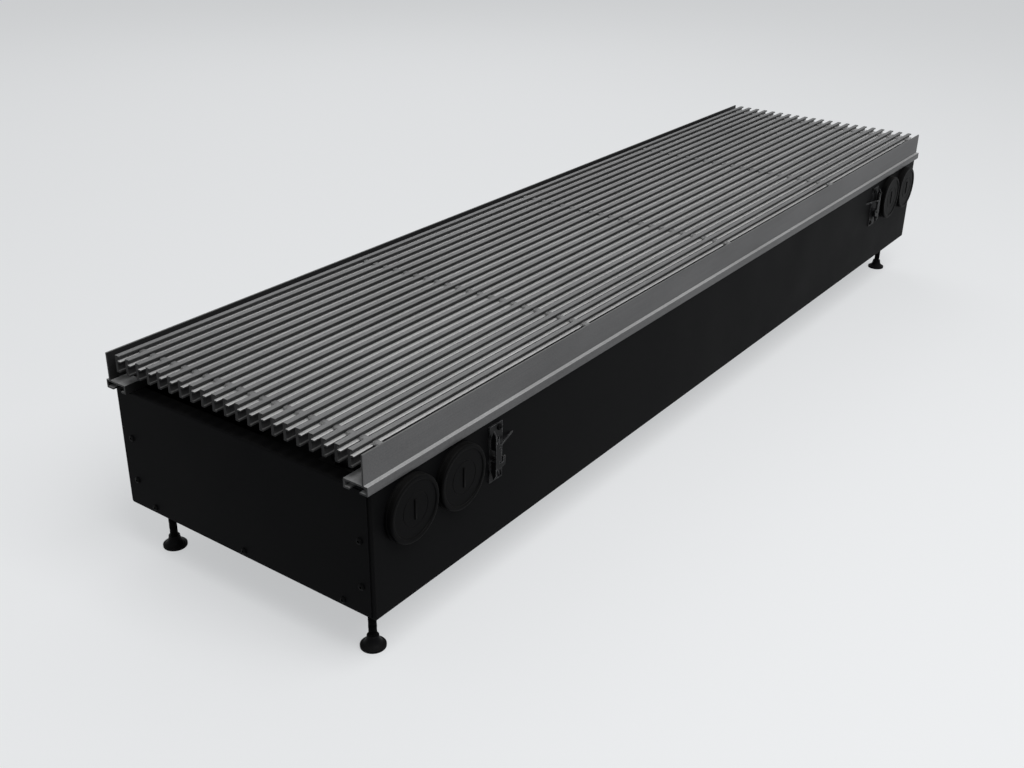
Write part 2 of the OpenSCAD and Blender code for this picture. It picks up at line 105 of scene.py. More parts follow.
class GrilleSettings(bpy.types.PropertyGroup):
    """Section of the grille's bars and of the frame's rails"""
    flange_width: FloatProperty(
        name="Flange width", description="Width of a bar's top flange", default=6.8 * MM, unit="LENGTH")
    flange_thickness: FloatProperty(
        name="Flange thickness", description="Thickness of a bar's top flange",
        default=2.2 * MM, unit="LENGTH")
    web_thickness: FloatProperty(
        name="Web thickness", description="Thickness of a bar's web", default=3.6 * MM, unit="LENGTH")
    ledge_drop: FloatProperty(
        name="Ledge drop", description="Drop from a bar's top to its side ledge",
        default=6.7 * MM, unit="LENGTH")
    ledge_thickness: FloatProperty(
        name="Ledge thickness", description="Thickness of a bar's side ledge",
        default=2.0 * MM, unit="LENGTH")
    ledge_inset: FloatProperty(
        name="Ledge inset", description="Play between a bar's ledge and its nominal width",
        default=0.7 * MM, unit="LENGTH")
    foot_out: FloatProperty(
        name="Foot", description="How far a bar's foot stands out from its web",
        default=2.0 * MM, unit="LENGTH")
    foot_height: FloatProperty(
        name="Foot height", description="Height of a bar's foot", default=2.4 * MM, unit="LENGTH")
    bar_round: FloatProperty(
        name="Bar rounding", description="Radius of a bar's long edges", default=0.35 * MM, unit="LENGTH")
    spacer_drop: FloatProperty(
        name="Spacer drop", description="How far the spacers' tops lie under their nominal height",
        default=1.8 * MM, unit="LENGTH")
    spacer_round: FloatProperty(
        name="Spacer rounding", description="Radius of the spacers' edges", default=1.0 * MM, unit="LENGTH")
    rail_wall: FloatProperty(
        name="Rail wall", description="Wall of the rails' section", default=2.2 * MM, unit="LENGTH")
    rail_ledge: FloatProperty(
        name="Rail ledge", description="How far the rail's ledge stands out", default=5.0 * MM, unit="LENGTH")
    rail_web: FloatProperty(
        name="Rail web", description="Height of the rail's web above its ledge",
        default=35.0 * MM, unit="LENGTH")
    rail_lip: FloatProperty(
        name="Lip return", description="Width of the lip's inward return", default=11.0 * MM, unit="LENGTH")
    rail_hook: FloatProperty(
        name="Hook return", description="Width of the inner hook's return", default=8.0 * MM, unit="LENGTH")
    rail_round: FloatProperty(
        name="Rail rounding", description="Radius of the rails' long edges", default=0.5 * MM, unit="LENGTH")
    strip_round: FloatProperty(
        name="Strip rounding", description="Radius of the damping strips' long edges",
        default=0.2 * MM, unit="LENGTH")


class FittingSettings(bpy.types.PropertyGroup):
    """Sizes of caps, feet, fasteners and the exchanger"""
    cap_rounding: FloatProperty(
        name="Cap rounding", description="Radius of a cap's outer rim", default=2.0 * MM, unit="LENGTH")
    cap_grip_length: FloatProperty(
        name="Grip length", description="Length of the rib that a cap is pulled off by",
        default=24.0 * MM, unit="LENGTH")
    cap_grip_width: FloatProperty(
        name="Grip width", description="Width of the rib on a cap", default=3.0 * MM, unit="LENGTH")
    pad_rim: FloatProperty(
        name="Pad rim", description="Height of a foot pad's upright rim", default=4.0 * MM, unit="LENGTH")
    pad_neck: FloatProperty(
        name="Pad neck", description="Radius of a foot pad's top", default=7.0 * MM, unit="LENGTH")
    foot_bore: FloatProperty(
        name="Foot bore", description="Radius of the pads' and nuts' bores", default=5.1 * MM, unit="LENGTH")
    nut_height: FloatProperty(
        name="Nut height", description="Height of a foot's lock nut", default=8.0 * MM, unit="LENGTH")
    nut_flat: FloatProperty(
        name="Nut flats", description="Distance from a lock nut's middle to its flats",
        default=8.4 * MM, unit="LENGTH")
    thread_pitch: FloatProperty(
        name="Thread pitch", description="Pitch of the foot screws", default=1.5 * MM, unit="LENGTH")
    thread_depth: FloatProperty(
        name="Thread depth", description="Depth of the foot screws' thread", default=0.75 * MM, unit="LENGTH")
    screw_head: FloatProperty(
        name="Screw head", description="Height of a casing screw's head", default=2.2 * MM, unit="LENGTH")
    screw_shank: FloatProperty(
        name="Screw shank", description="Radius of a casing screw's shank", default=2.0 * MM, unit="LENGTH")
    fin_pitch: FloatProperty(
        name="Fin pitch", description="Distance from fin to fin", default=8.0 * MM, unit="LENGTH")
    fin_ripple: FloatProperty(
        name="Fin ripple", description="How far the fins' ripples stand out", default=0.9 * MM, unit="LENGTH")
    fin_thickness: FloatProperty(
        name="Fin thickness", description="Thickness of a fin", default=0.5 * MM, unit="LENGTH")
    tube_radius: FloatProperty(
        name="Tube radius", description="Outer radius of the exchanger's tubes",
        default=7.5 * MM, unit="LENGTH")


class FinishSettings(bpy.types.PropertyGroup):
    """Colours of the finishes"""
    powder_coat: FloatVectorProperty(
        name="Powder coat", description="Casing",
        default=(0.0056, 0.0057, 0.0061), subtype="COLOR", min=0, max=1)
    # Painted light: the rails' side and ledge colours are shaded and lit copies of one metal
    rail_side: FloatVectorProperty(
        name="Rail sides", description="Upright faces of the rails",
        default=(0.150, 0.150, 0.152), subtype="COLOR", min=0, max=1)
    rail_ledge: FloatVectorProperty(
        name="Rail ledges", description="Faces of the rails that look up",
        default=(0.50, 0.50, 0.50), subtype="COLOR", min=0, max=1)
    # Painted shade on the rails' top edges
    rail_top_shade: FloatVectorProperty(
        name="Rail tops", description="Top edges of the rails, dulled by use",
        default=(0.13, 0.13, 0.13), subtype="COLOR", min=0, max=1)
    # Painted shade on the rails' faces towards the grille
    rail_inside_shade: FloatVectorProperty(
        name="Rail insides", description="Blackened faces towards the grille",
        default=(0.03, 0.03, 0.031), subtype="COLOR", min=0, max=1)
    # Painted light: the bars' side and ledge colours are shaded and lit copies of one metal
    bar_side: FloatVectorProperty(
        name="Bar sides", description="Upright faces of the bars",
        default=(0.075, 0.075, 0.076), subtype="COLOR", min=0, max=1)
    bar_ledge_lit: FloatVectorProperty(
        name="Bar ledges", description="Ledges of the bars",
        default=(0.82, 0.82, 0.815), subtype="COLOR", min=0, max=1)
    # Painted shade on the bars' top faces
    top_shade: FloatVectorProperty(
        name="Tread", description="Top faces of the bars, dulled by use",
        default=(0.172, 0.172, 0.173), subtype="COLOR", min=0, max=1)
    # Painted light: the spacers' sides are paler than their tops, standing in for light on the sides
    spacer_side_lit: FloatVectorProperty(
        name="Spacer sides", description="Sides of the spacer blocks",
        default=(0.55, 0.55, 0.55), subtype="COLOR", min=0, max=1)
    spacer_top: FloatVectorProperty(
        name="Spacer tops", description="Tops of the spacer blocks",
        default=(0.20, 0.20, 0.20), subtype="COLOR", min=0, max=1)
    support_metal: FloatVectorProperty(
        name="Supports", description="Cross supports",
        default=(0.035, 0.035, 0.037), subtype="COLOR", min=0, max=1)
    cap_plastic: FloatVectorProperty(
        name="Caps", description="Moulded blanking caps",
        default=(0.0021, 0.0021, 0.0023), subtype="COLOR", min=0, max=1)
    foot_plastic: FloatVectorProperty(
        name="Foot pads", description="Moulded foot pads",
        default=(0.009, 0.009, 0.0095), subtype="COLOR", min=0, max=1)
    graphite: FloatVectorProperty(
        name="Graphite", description="Coating of the heat exchanger",
        default=(0.014, 0.014, 0.015), subtype="COLOR", min=0, max=1)
    brass: FloatVectorProperty(
        name="Brass", description="Unions and vent",
        default=(0.62, 0.45, 0.20), subtype="COLOR", min=0, max=1)
    nickel: FloatVectorProperty(
        name="Nickel", description="Bleed screw", default=(0.55, 0.55, 0.53), subtype="COLOR", min=0, max=1)
    anchor_steel: FloatVectorProperty(
        name="Anchors", description="Coated steel of the anchors",
        default=(0.006, 0.006, 0.0065), subtype="COLOR", min=0, max=1)
    # Painted highlight along the anchors' cut and folded edges
    anchor_edge: FloatVectorProperty(
        name="Anchor edges", description="Bare edges of the anchors",
        default=(0.26, 0.26, 0.265), subtype="COLOR", min=0, max=1)
    screw_black: FloatVectorProperty(
        name="Screws", description="Blackened screws",
        default=(0.0035, 0.0035, 0.0037), subtype="COLOR", min=0, max=1)
    rubber: FloatVectorProperty(
        name="Rubber", description="Damping strips",
        default=(0.010, 0.010, 0.010), subtype="COLOR", min=0, max=1)


class StageSettings(bpy.types.PropertyGroup):
    """Camera, floor and lamps"""
    eye: FloatVectorProperty(
        name="Eye", description="Place of the camera",
        default=(-1.5454, -0.9049, 0.8469), subtype="XYZ", unit="LENGTH")
    azimuth: FloatProperty(
        name="Azimuth", description="Heading of the camera, from +Y towards +X",
        default=math.radians(54.45), subtype="ANGLE")
    fall: FloatProperty(
        name="Fall", description="How far the camera looks down",
        default=math.radians(25.98), subtype="ANGLE")
    roll: FloatProperty(
        name="Roll", description="Small turn of the camera about its own axis",
        default=math.radians(0.91), subtype="ANGLE")
    lens: FloatProperty(
        name="Lens", description="Focal length on a 36 mm wide sensor", default=42.21, unit="CAMERA")
    floor_colour: FloatVectorProperty(
        name="Floor", description="Colour of the floor",
        default=(0.46, 0.465, 0.47), subtype="COLOR", min=0, max=1)
    floor_lift: FloatProperty(
        name="Floor lift", description="How much paler the floor looks to the camera and in reflections",
        default=0.50, min=0, max=1)
    backdrop: FloatProperty(
        name="Backdrop", description="World's level for the camera and the reflections", default=0.80)
    sky: FloatProperty(
        name="Sky", description="Strength of the world's light", default=0.22)
    key_place: FloatVectorProperty(
        name="Key place", description="Place of the main lamp",
        default=(-0.75, -1.7, 2.9), subtype="XYZ", unit="LENGTH")
    key_aim: FloatVectorProperty(
        name="Key aim", description="Where the main lamp points",
        default=(-0.3, 0.0, 0.2), subtype="XYZ", unit="LENGTH")
    key_power: FloatProperty(
        name="Key", description="Power of the main lamp", default=66.0, unit="POWER")
    fill_place: FloatVectorProperty(
        name="Fill place", description="Place of the lamp behind",
        default=(1.6, 1.8, 2.2), subtype="XYZ", unit="LENGTH")
    fill_aim: FloatVectorProperty(
        name="Fill aim", description="Where the lamp behind points",
        default=(0.0, 0.0, 0.2), subtype="XYZ", unit="LENGTH")
    fill_power: FloatProperty(
        name="Fill", description="Power of the lamp behind", default=12.0, unit="POWER")
    lamp_size: FloatProperty(
        name="Lamp size", description="Width of both square lamps", default=2.4, unit="LENGTH")


# Node trees

class Desk:
    """Adds nodes to one tree and wires them. An input takes a socket or a plain value."""

    def __init__(self, tree):
        self.tree = tree

    def add(self, kind, inputs=None, **settings):
        node = self.tree.nodes.new(kind)
        for key, value in settings.items():
            setattr(node, key, value)
        for key, value in (inputs or {}).items():
            self.feed(node.inputs[key], value)
        return node

    def feed(self, socket, value):
        if isinstance(value, bpy.types.NodeSocket):
            self.tree.links.new(value, socket)
        else:
            socket.default_value = value

    def result(self, kind, inputs=None, **settings):
        """Adds a node and returns its first output."""
        return self.add(kind, inputs, **settings).outputs[0]

    def maths(self, operation, first, second=0.0, clamp=False):
        return self.result("ShaderNodeMath", {0: first, 1: second}, operation=operation, use_clamp=clamp)

    def times(self, first, second, clamp=False):
        return self.maths("MULTIPLY", first, second, clamp)

    def blend(self, factor, first, second, mode="MIX"):
        node = self.add("ShaderNodeMix", data_type="RGBA", blend_type=mode)
        for index, value in ((0, factor), (6, first), (7, second)):
            self.feed(node.inputs[index], value)
        return node.outputs[2]

    def grey(self, value):
        return self.result("ShaderNodeCombineColor", {0: value, 1: value, 2: value})

    def spread(self, value, low, high, new_low=0.0, new_high=1.0):
        """Spreads the values between low and high over a new range."""
        return self.result("ShaderNodeMapRange", {
            "Value": value, "From Min": low, "From Max": high, "To Min": new_low, "To Max": new_high})

    def stretched(self, scale=(1, 1, 1)):
        """Object coordinates, multiplied by a scale: a large number packs a pattern closer along its axis."""
        place = self.add("ShaderNodeTexCoord").outputs["Object"]
        return self.result("ShaderNodeMapping", {"Vector": place, "Scale": scale})

    def noise(self, vector, scale=1.0, detail=2.0, roughness=0.5):
        node = self.add("ShaderNodeTexNoise", {
            "Vector": vector, "Scale": scale, "Detail": detail, "Roughness": roughness})
        return node.outputs["Fac"]


def shader_group(name, inputs, outputs):
    """A shader node group with named sockets; returns its desk, its inputs and its output node."""
    group = bpy.data.node_groups.new(name, "ShaderNodeTree")
    for label, kind, value in inputs:
        group.interface.new_socket(name=label, in_out="INPUT", socket_type=kind).default_value = value
    for label, kind in outputs:
        group.interface.new_socket(name=label, in_out="OUTPUT", socket_type=kind)
    desk = Desk(group)
    return desk, desk.add("NodeGroupInput").outputs, desk.add("NodeGroupOutput").inputs


def wear_group():
    """Paler metal where two faces meet, broken up by noise: edge wear, and on the caps and anchors a painted
    highlight.
    """
    desk, given, put = shader_group(
        "Edge wear and highlight",
        [("Colour", COLOUR, (0.1, 0.1, 0.1, 1)), ("Wear and highlight colour", COLOUR, (0.4, 0.4, 0.4, 1)),
         ("Reach", FLOAT, 0.6 * MM), ("Amount", FLOAT, 0.5), ("Patch scale", FLOAT, 90.0)],
        [("Colour", COLOUR), ("Mask", FLOAT)])
    rounded = desk.result("ShaderNodeBevel", {"Radius": given["Reach"]}, samples=4)
    flat = desk.add("ShaderNodeNewGeometry").outputs["Normal"]
    dot = desk.add("ShaderNodeVectorMath", {0: rounded, 1: flat}, operation="DOT_PRODUCT").outputs["Value"]
    edge = desk.spread(dot, 0.985, 0.90)
    patches = desk.noise(desk.stretched(), given["Patch scale"], 4.0, 0.7)
    mask = desk.times(edge, desk.spread(patches, 0.35, 0.65))
    mask = desk.times(mask, given["Amount"], clamp=True)
    desk.feed(put["Colour"], desk.blend(mask, given["Colour"], given["Wear and highlight colour"]))
    desk.feed(put["Mask"], mask)
    return desk.tree


def dust_group():
    """A thin settled dust on faces that look up."""
    desk, given, put = shader_group(
        "Dust",
        [("Colour", COLOUR, (0.1, 0.1, 0.1, 1)), ("Roughness", FLOAT, 0.4),
         ("Dust colour", COLOUR, (0.32, 0.31, 0.29, 1)), ("Amount", FLOAT, 0.12)],
        [("Colour", COLOUR), ("Roughness", FLOAT)])
    normal = desk.add("ShaderNodeNewGeometry").outputs["Normal"]
    up = desk.add("ShaderNodeSeparateXYZ", {0: normal}).outputs["Z"]
    clouds = desk.noise(desk.stretched(), 14.0, 5.0, 0.65)
    specks = desk.noise(desk.stretched(), 900.0, 2.0, 0.6)
    lying = desk.times(desk.spread(up, 0.2, 0.95), desk.spread(clouds, 0.3, 0.75))
    lying = desk.times(lying, desk.spread(specks, 0.35, 0.7, 0.55, 1.0))
    lying = desk.times(lying, given["Amount"], clamp=True)
    dulled = desk.maths("ADD", given["Roughness"], desk.times(lying, 0.5), clamp=True)
    desk.feed(put["Colour"], desk.blend(lying, given["Colour"], given["Dust colour"]))
    desk.feed(put["Roughness"], dulled)
    return desk.tree


def drawn_group():
    """Fine lines along X, as a die leaves on an extruded or drawn section."""
    desk, _, put = shader_group("Drawn lines", [], [("Fine", FLOAT), ("Broad", FLOAT), ("Patch", FLOAT)])
    desk.feed(put["Fine"], desk.noise(desk.stretched((5, 2600, 2600)), 1.0, 3.0, 0.6))
    desk.feed(put["Broad"], desk.noise(desk.stretched((1.5, 420, 420)), 1.0, 2.0, 0.5))
    desk.feed(put["Patch"], desk.noise(desk.stretched((6, 14, 14)), 1.0, 4.0, 0.6))
    return desk.tree


def grain_group():
    """The orange peel of powder coat, or the spark texture of a mould, at a size that is given."""
    desk, given, put = shader_group(
        "Grain", [("Size", FLOAT, 0.8 * MM)], [("Height", FLOAT), ("Cloud", FLOAT)])
    scale = desk.maths("DIVIDE", 1.0, given["Size"])
    place = desk.stretched()
    cells = desk.add("ShaderNodeTexVoronoi", {"Vector": place, "Scale": scale}, feature="SMOOTH_F1")
    fine = desk.noise(place, scale, 3.0, 0.6)
    desk.feed(put["Height"], desk.maths("ADD", desk.times(cells.outputs["Distance"], 0.6), fine))
    desk.feed(put["Cloud"], desk.noise(place, 7.0, 5.0, 0.6))
    return desk.tree


class Finish:
    """One material round a Principled shader, with the shared groups placed by name."""

    groups = {}

    def __init__(self, name, **constants):
        self.material = bpy.data.materials.new(name)
        self.material.use_nodes = True
        self.desk = Desk(self.material.node_tree)
        self.shader = self.material.node_tree.nodes["Principled BSDF"]
        for label, value in constants.items():
            self.shader.inputs[label.replace("_", " ")].default_value = value

    def group(self, name, inputs=None):
        node = self.desk.add("ShaderNodeGroup", node_tree=Finish.groups[name])
        for label, value in (inputs or {}).items():
            self.desk.feed(node.inputs[label], value)
        return node.outputs

    def set(self, label, value):
        self.desk.feed(self.shader.inputs[label], value)

    def bump(self, height, strength, distance):
        self.set("Normal", self.desk.result("ShaderNodeBump", {
            "Height": height, "Strength": strength, "Distance": distance}))

    def wear_and_highlight(self, colour, edge_colour, reach, amount, patch_scale):
        """The shared edge wear, which on the caps and anchors is also a painted highlight: the edge colour
        shows where two faces meet.
        """
        return self.group("Edge wear and highlight", {
            "Colour": colour, "Wear and highlight colour": edge_colour, "Reach": reach, "Amount": amount,
            "Patch scale": patch_scale})

    def dusted(self, colour, roughness, amount):
        """Lays the shared dust on a colour and a roughness, and gives both to the shader."""
        dusty = self.group("Dust", {"Colour": colour, "Roughness": roughness, "Amount": amount})
        self.set("Base Color", dusty["Colour"])
        self.set("Roughness", dusty["Roughness"])


def opaque(colour, gain=1.0):
    """A colour with full alpha, made lighter or darker by the gain."""
    return tuple(channel * gain for channel in colour) + (1.0,)


def coated_sheet(name, colour):
    """Fine-textured black powder coat on folded steel."""
    finish = Finish(name, Specular_IOR_Level=0.022)
    desk = finish.desk
    grain = finish.group("Grain", {"Size": 0.7 * MM})
    tint = desk.blend(desk.spread(grain["Cloud"], 0.3, 0.7), opaque(colour, 0.8), opaque(colour, 1.3))
    wear_and_highlight = finish.wear_and_highlight(tint, opaque(colour, 4.0), reach=0.7 * MM, amount=0.5, patch_scale=60.0)
    finish.dusted(wear_and_highlight["Colour"], desk.spread(grain["Cloud"], 0.25, 0.75, 0.46, 0.60), amount=0.03)
    finish.bump(grain["Height"], 0.35, 0.12 * MM)
    return finish.material


def anodised(name, side, ledge, top_shade=None, inner=None, shade_below=None, shaded_ends=True, rough=0.38):
    """Satin anodised aluminium with the die's lines along its length.

    Painted light: faces that look up take the lit colour and upright faces the side colour, lit and shaded
    copies of one metal. The tops of bars and rails, down to a small depth, have a darker painted shade, and
    the painted light on upward faces fades to painted shade below a given depth. Faces towards the middle
    of the grille have the inner colour, a painted shade, and the ends that face along X are darker, also
    a painted shade.
    """
    finish = Finish(name, Metallic=0.25, Specular_IOR_Level=0.07)
    desk = finish.desk
    lines = finish.group("Drawn lines")
    facing = desk.add("ShaderNodeTexCoord").outputs["Normal"]
    facing = desk.add("ShaderNodeSeparateXYZ", {0: facing}).outputs
    place = desk.add("ShaderNodeSeparateXYZ", {0: desk.stretched()}).outputs
    top = max(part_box(bar)[1].z for bar in BARS)
    # Painted light: faces that look up take the lit colour and upright faces the shaded side colour
    lit_mask = desk.spread(facing["Z"], 0.3, 0.8)
    # Painted shade: below the given depth the painted light on upward faces fades
    if shade_below is not None:
        shade_line = top - shade_below
        lit_mask = desk.times(lit_mask, desk.spread(place["Z"], shade_line, shade_line + 0.5 * MM, 0.12, 1.0))
    base = desk.blend(lit_mask, opaque(side), opaque(ledge))
    # Painted shade: faces turned towards the middle of the grille take the dark inner colour
    if inner is not None:
        inward = desk.times(facing["Y"], place["Y"])
        base = desk.blend(desk.spread(inward, -0.15, -0.10, 1.0, 0.0), base, opaque(inner))
    # Painted shade: the top faces of bars and rails take the darker top colour
    if top_shade is not None:
        top_shade_mask = desk.spread(place["Z"], top - TOP_SHADE_DEPTH, top - TOP_SHADE_DEPTH + 0.1 * MM)
        base = desk.blend(top_shade_mask, base, opaque(top_shade))
    streak = desk.spread(lines["Fine"], 0.3, 0.7, 0.86, 1.12)
    patch = desk.spread(lines["Patch"], 0.35, 0.75, 1.06, 0.84)
    speck = desk.spread(desk.noise(desk.stretched((420, 700, 700)), 1.0, 2.0, 0.5), 0.3, 0.7, 0.9, 1.1)
    shade = desk.times(desk.times(streak, patch), speck)
    tint = desk.blend(1.0, base, desk.grey(shade), "MULTIPLY")
    roughness = desk.spread(lines["Broad"], 0.3, 0.7, rough - 0.04, rough + 0.04)
    # Painted shade: the ends that face along X are darker
    if shaded_ends:
        end_shade = desk.spread(desk.maths("ABSOLUTE", facing["X"]), 0.85, 0.95)
        end_shade_colour = desk.blend(desk.spread(lines["Patch"], 0.3, 0.7), opaque(side, 0.3), opaque(side, 0.7))
        tint = desk.blend(end_shade, tint, end_shade_colour)
        roughness = desk.maths("ADD", roughness, desk.times(end_shade, 0.25))
    wear_and_highlight = finish.wear_and_highlight(tint, opaque(side, 2.2), reach=0.4 * MM, amount=0.3, patch_scale=40.0)
    finish.dusted(wear_and_highlight["Colour"], roughness, amount=0.05)
    finish.bump(lines["Fine"], 0.12, 0.06 * MM)
    return finish.material


def moulded(name, colour, size, rough):
    """Black moulded plastic with a spark-eroded grain."""
    finish = Finish(name, Specular_IOR_Level=0.028)
    grain = finish.group("Grain", {"Size": size})
    # Edge wear, which on the caps is also a painted highlight round the rims
    wear_and_highlight = finish.wear_and_highlight(opaque(colour), opaque(colour, 5.0), reach=0.6 * MM, amount=0.6, patch_scale=120.0)
    roughness = finish.desk.spread(grain["Cloud"], 0.3, 0.7, rough - 0.05, rough + 0.06)
    finish.dusted(wear_and_highlight["Colour"], roughness, amount=0.05)
    finish.bump(grain["Height"], 0.4, 0.1 * MM)
    return finish.material


def soft_rubber(name, colour):
    """Matt black rubber with a dull bloom."""
    finish = Finish(name, Specular_IOR_Level=0.1)
    desk = finish.desk
    grain = finish.group("Grain", {"Size": 1.2 * MM})
    bloom = desk.blend(desk.spread(grain["Cloud"], 0.4, 0.8), opaque(colour), opaque(colour, 2.2))
    finish.dusted(bloom, 0.82, amount=0.1)
    finish.bump(grain["Height"], 0.5, 0.15 * MM)
    return finish.material


def highlight_edged(name, colour, edge):
    """Coated steel with pale metal painted along its cut and folded edges, a painted highlight."""
    finish = Finish(name, Specular_IOR_Level=0.08)
    desk = finish.desk
    grain = finish.group("Grain", {"Size": 0.9 * MM})
    tint = desk.blend(desk.spread(grain["Cloud"], 0.3, 0.7), opaque(colour, 0.8), opaque(colour, 1.4))
    # Painted highlight: the edge colour at full amount along every edge
    wear_and_highlight = finish.wear_and_highlight(tint, opaque(edge), reach=1.1 * MM, amount=1.0, patch_scale=70.0)
    finish.set("Base Color", wear_and_highlight["Colour"])
    finish.set("Metallic", desk.times(wear_and_highlight["Mask"], 0.6))
    finish.set("Roughness", desk.spread(grain["Cloud"], 0.3, 0.7, 0.36, 0.5))
    finish.bump(grain["Height"], 0.3, 0.1 * MM)
    return finish.material


def graphite_coat(name, colour):
    """The thin matt graphite coating of the heat exchanger, rubbed in places."""
    finish = Finish(name, Specular_IOR_Level=0.12)
    desk = finish.desk
    grain = finish.group("Grain", {"Size": 1.0 * MM})
    rubbed = desk.spread(desk.noise(desk.stretched(), 38.0, 5.0, 0.7), 0.55, 0.75)
    tint = desk.blend(desk.times(rubbed, 0.5), opaque(colour), opaque(colour, 2.6))
    finish.dusted(tint, desk.spread(rubbed, 0.0, 1.0, 0.62, 0.44), amount=0.12)
    finish.bump(grain["Height"], 0.3, 0.1 * MM)
    return finish.material


def turned(name, colour, rough, dulled, metallic=1.0, shine=0.2):
    """Turned metal: fine tool marks, brighter edges, a little tarnish."""
    finish = Finish(name, Metallic=metallic, Specular_IOR_Level=shine)
    desk = finish.desk
    marks = desk.noise(desk.stretched((2400, 300, 300)), 1.0, 2.0, 0.5)
    tarnish = desk.noise(desk.stretched(), 130.0, 4.0, 0.65)
    tint = desk.blend(desk.spread(tarnish, 0.4, 0.75), opaque(colour), opaque(colour, dulled))
    wear_and_highlight = finish.wear_and_highlight(tint, opaque(colour, 1.6), reach=0.3 * MM, amount=0.7, patch_scale=200.0)
    finish.set("Base Color", wear_and_highlight["Colour"])
    finish.set("Roughness", desk.spread(tarnish, 0.3, 0.7, rough, rough + 0.16))
    finish.bump(marks, 0.1, 0.04 * MM)
    return finish.material


def make_finishes():
    """Builds the shared groups and every finish once."""
    Finish.groups = {
        "Edge wear and highlight": wear_group(), "Dust": dust_group(), "Drawn lines": drawn_group(), "Grain": grain_group()}
    look = bpy.context.scene.trench_finishes
    return {
        "powder_coat": coated_sheet("powder_coat", look.powder_coat),
        "rail_metal": anodised(
            "rail_metal", look.rail_side, look.rail_ledge, look.rail_top_shade, look.rail_inside_shade),
        "bar_metal": anodised("bar_metal", look.bar_side, look.bar_ledge_lit, look.top_shade, shade_below=12 * MM),
        "spacer_metal": anodised("spacer_metal", look.spacer_side_lit, look.spacer_top, shaded_ends=False),
        "support_metal": anodised("support_metal", look.support_metal, look.support_metal, rough=0.48),
        "cap_plastic": moulded("cap_plastic", look.cap_plastic, 0.6 * MM, 0.44),
        "foot_plastic": moulded("foot_plastic", look.foot_plastic, 0.9 * MM, 0.48),
        "rubber": soft_rubber("rubber", look.rubber),
        "anchor_steel": highlight_edged("anchor_steel", look.anchor_steel, look.anchor_edge),
        "graphite": graphite_coat("graphite", look.graphite),
        "brass": turned("brass", look.brass, 0.24, 0.62),
        "nickel": turned("nickel", look.nickel, 0.16, 0.75),
        "screw_black": turned("screw_black", look.screw_black, 0.46, 0.7, metallic=0.2, shine=0.04),
    }


# The finishes and the geometry trees by name, filled in by main
FINISH = {}
TREES = {}


# Meshes

def add_object(name, data):
    """Puts a mesh, a lamp or a camera in the scene as a new object."""
    piece = bpy.data.objects.new(name, data)
    bpy.context.scene.collection.objects.link(piece)
    return piece


def new_mesh_object(name, points, faces=(), edges=()):
    """A mesh object from its points and the lists of points in each face and edge."""
    mesh = bpy.data.meshes.new(name)
    mesh.from_pydata([tuple(p) for p in points], list(edges), [tuple(f) for f in faces])
    return add_object(name, mesh)


def merged(mesh):
    """Opens a mesh for work, with its doubles merged."""
    work = bmesh.new()
    work.from_mesh(mesh)
    bmesh.ops.remove_doubles(work, verts=work.verts, dist=MERGE)
    return work


def finished(work, name):
    """Closes the work on a mesh and makes an object of it."""
    mesh = bpy.data.meshes.new(name)
    work.to_mesh(mesh)
    work.free()
    return add_object(name, mesh)


def point_out(mesh):
    """Merges doubles and turns every face outwards."""
    work = merged(mesh)
    bmesh.ops.recalc_face_normals(work, faces=work.faces)
    work.to_mesh(mesh)
    work.free()


def smooth(piece, angle=SMOOTH_ANGLE):
    """Shades a piece smooth, apart from edges sharper than the angle."""
    piece.data.shade_smooth()
    piece.data.set_sharp_from_angle(angle=angle)


def settle(piece, finish, node):
    """Gives a finished piece its finish and the body of the node that it stands for, and hides the node."""
    piece.data.materials.clear()
    piece.data.materials.append(FINISH[finish])
    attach(piece, BODY_OF[node])
    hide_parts(node)


def dress(finish, *nodes):
    """Gives CAD nodes that stay a finish of their own."""
    for node in nodes:
        slots = frame["nodes"][node].data.materials
        slots.clear()
        slots.append(FINISH[finish])


def solid_boxes(node):
    """The low and high corner of each separate solid of a node."""
    work = merged(frame["nodes"][node].data)
    left = set(work.verts)
    boxes = []
    while left:
        front = [left.pop()]
        found = []
        while front:
            vertex = front.pop()
            found.append(vertex.co.copy())
            near = {edge.other_vert(vertex) for edge in vertex.link_edges} & left
            left -= near
            front += near
        boxes.append((Vector(map(min, zip(*found))), Vector(map(max, zip(*found)))))
    work.free()
    return sorted(boxes, key=lambda box: tuple(round(value, 6) for value in (*box[0], *box[1])))


def base_of(low, high):
    """The middle of a box's lower face."""
    return Vector(((low.x + high.x) / 2, (low.y + high.y) / 2, low.z))


def place(piece, spot, turn=Matrix.Identity(4)):
    """Turns a mesh and moves it to a spot, while its object stays at the origin."""
    piece.data.transform(Matrix.Translation(spot) @ turn)
    return piece


def join(name, parts):
    """Joins the meshes of several objects into one new object."""
    work = bmesh.new()
    for part in parts:
        work.from_mesh(part.data)
        bpy.data.objects.remove(part)
    return finished(work, name)


def slab(name, low, high, edge):
    """A block between two corners with small chamfered edges."""
    middle = (Vector(low) + Vector(high)) / 2
    size = Vector(high) - Vector(low)
    work = bmesh.new()
    bmesh.ops.create_cube(work, size=1.0, matrix=Matrix.Translation(middle) @ Matrix.Diagonal(size).to_4x4())
    bmesh.ops.bevel(work, geom=work.edges[:], offset=edge, segments=2, affect="EDGES", profile=0.5)
    return finished(work, name)


def ring_points(radius, height, steps):
    """One ring of a turned form; a radius may be a function of the angle."""
    points = []
    for i in range(steps):
        angle = math.tau * i / steps
        r = radius(angle) if callable(radius) else radius
        points.append(Vector((r * math.cos(angle), r * math.sin(angle), height)))
    return points


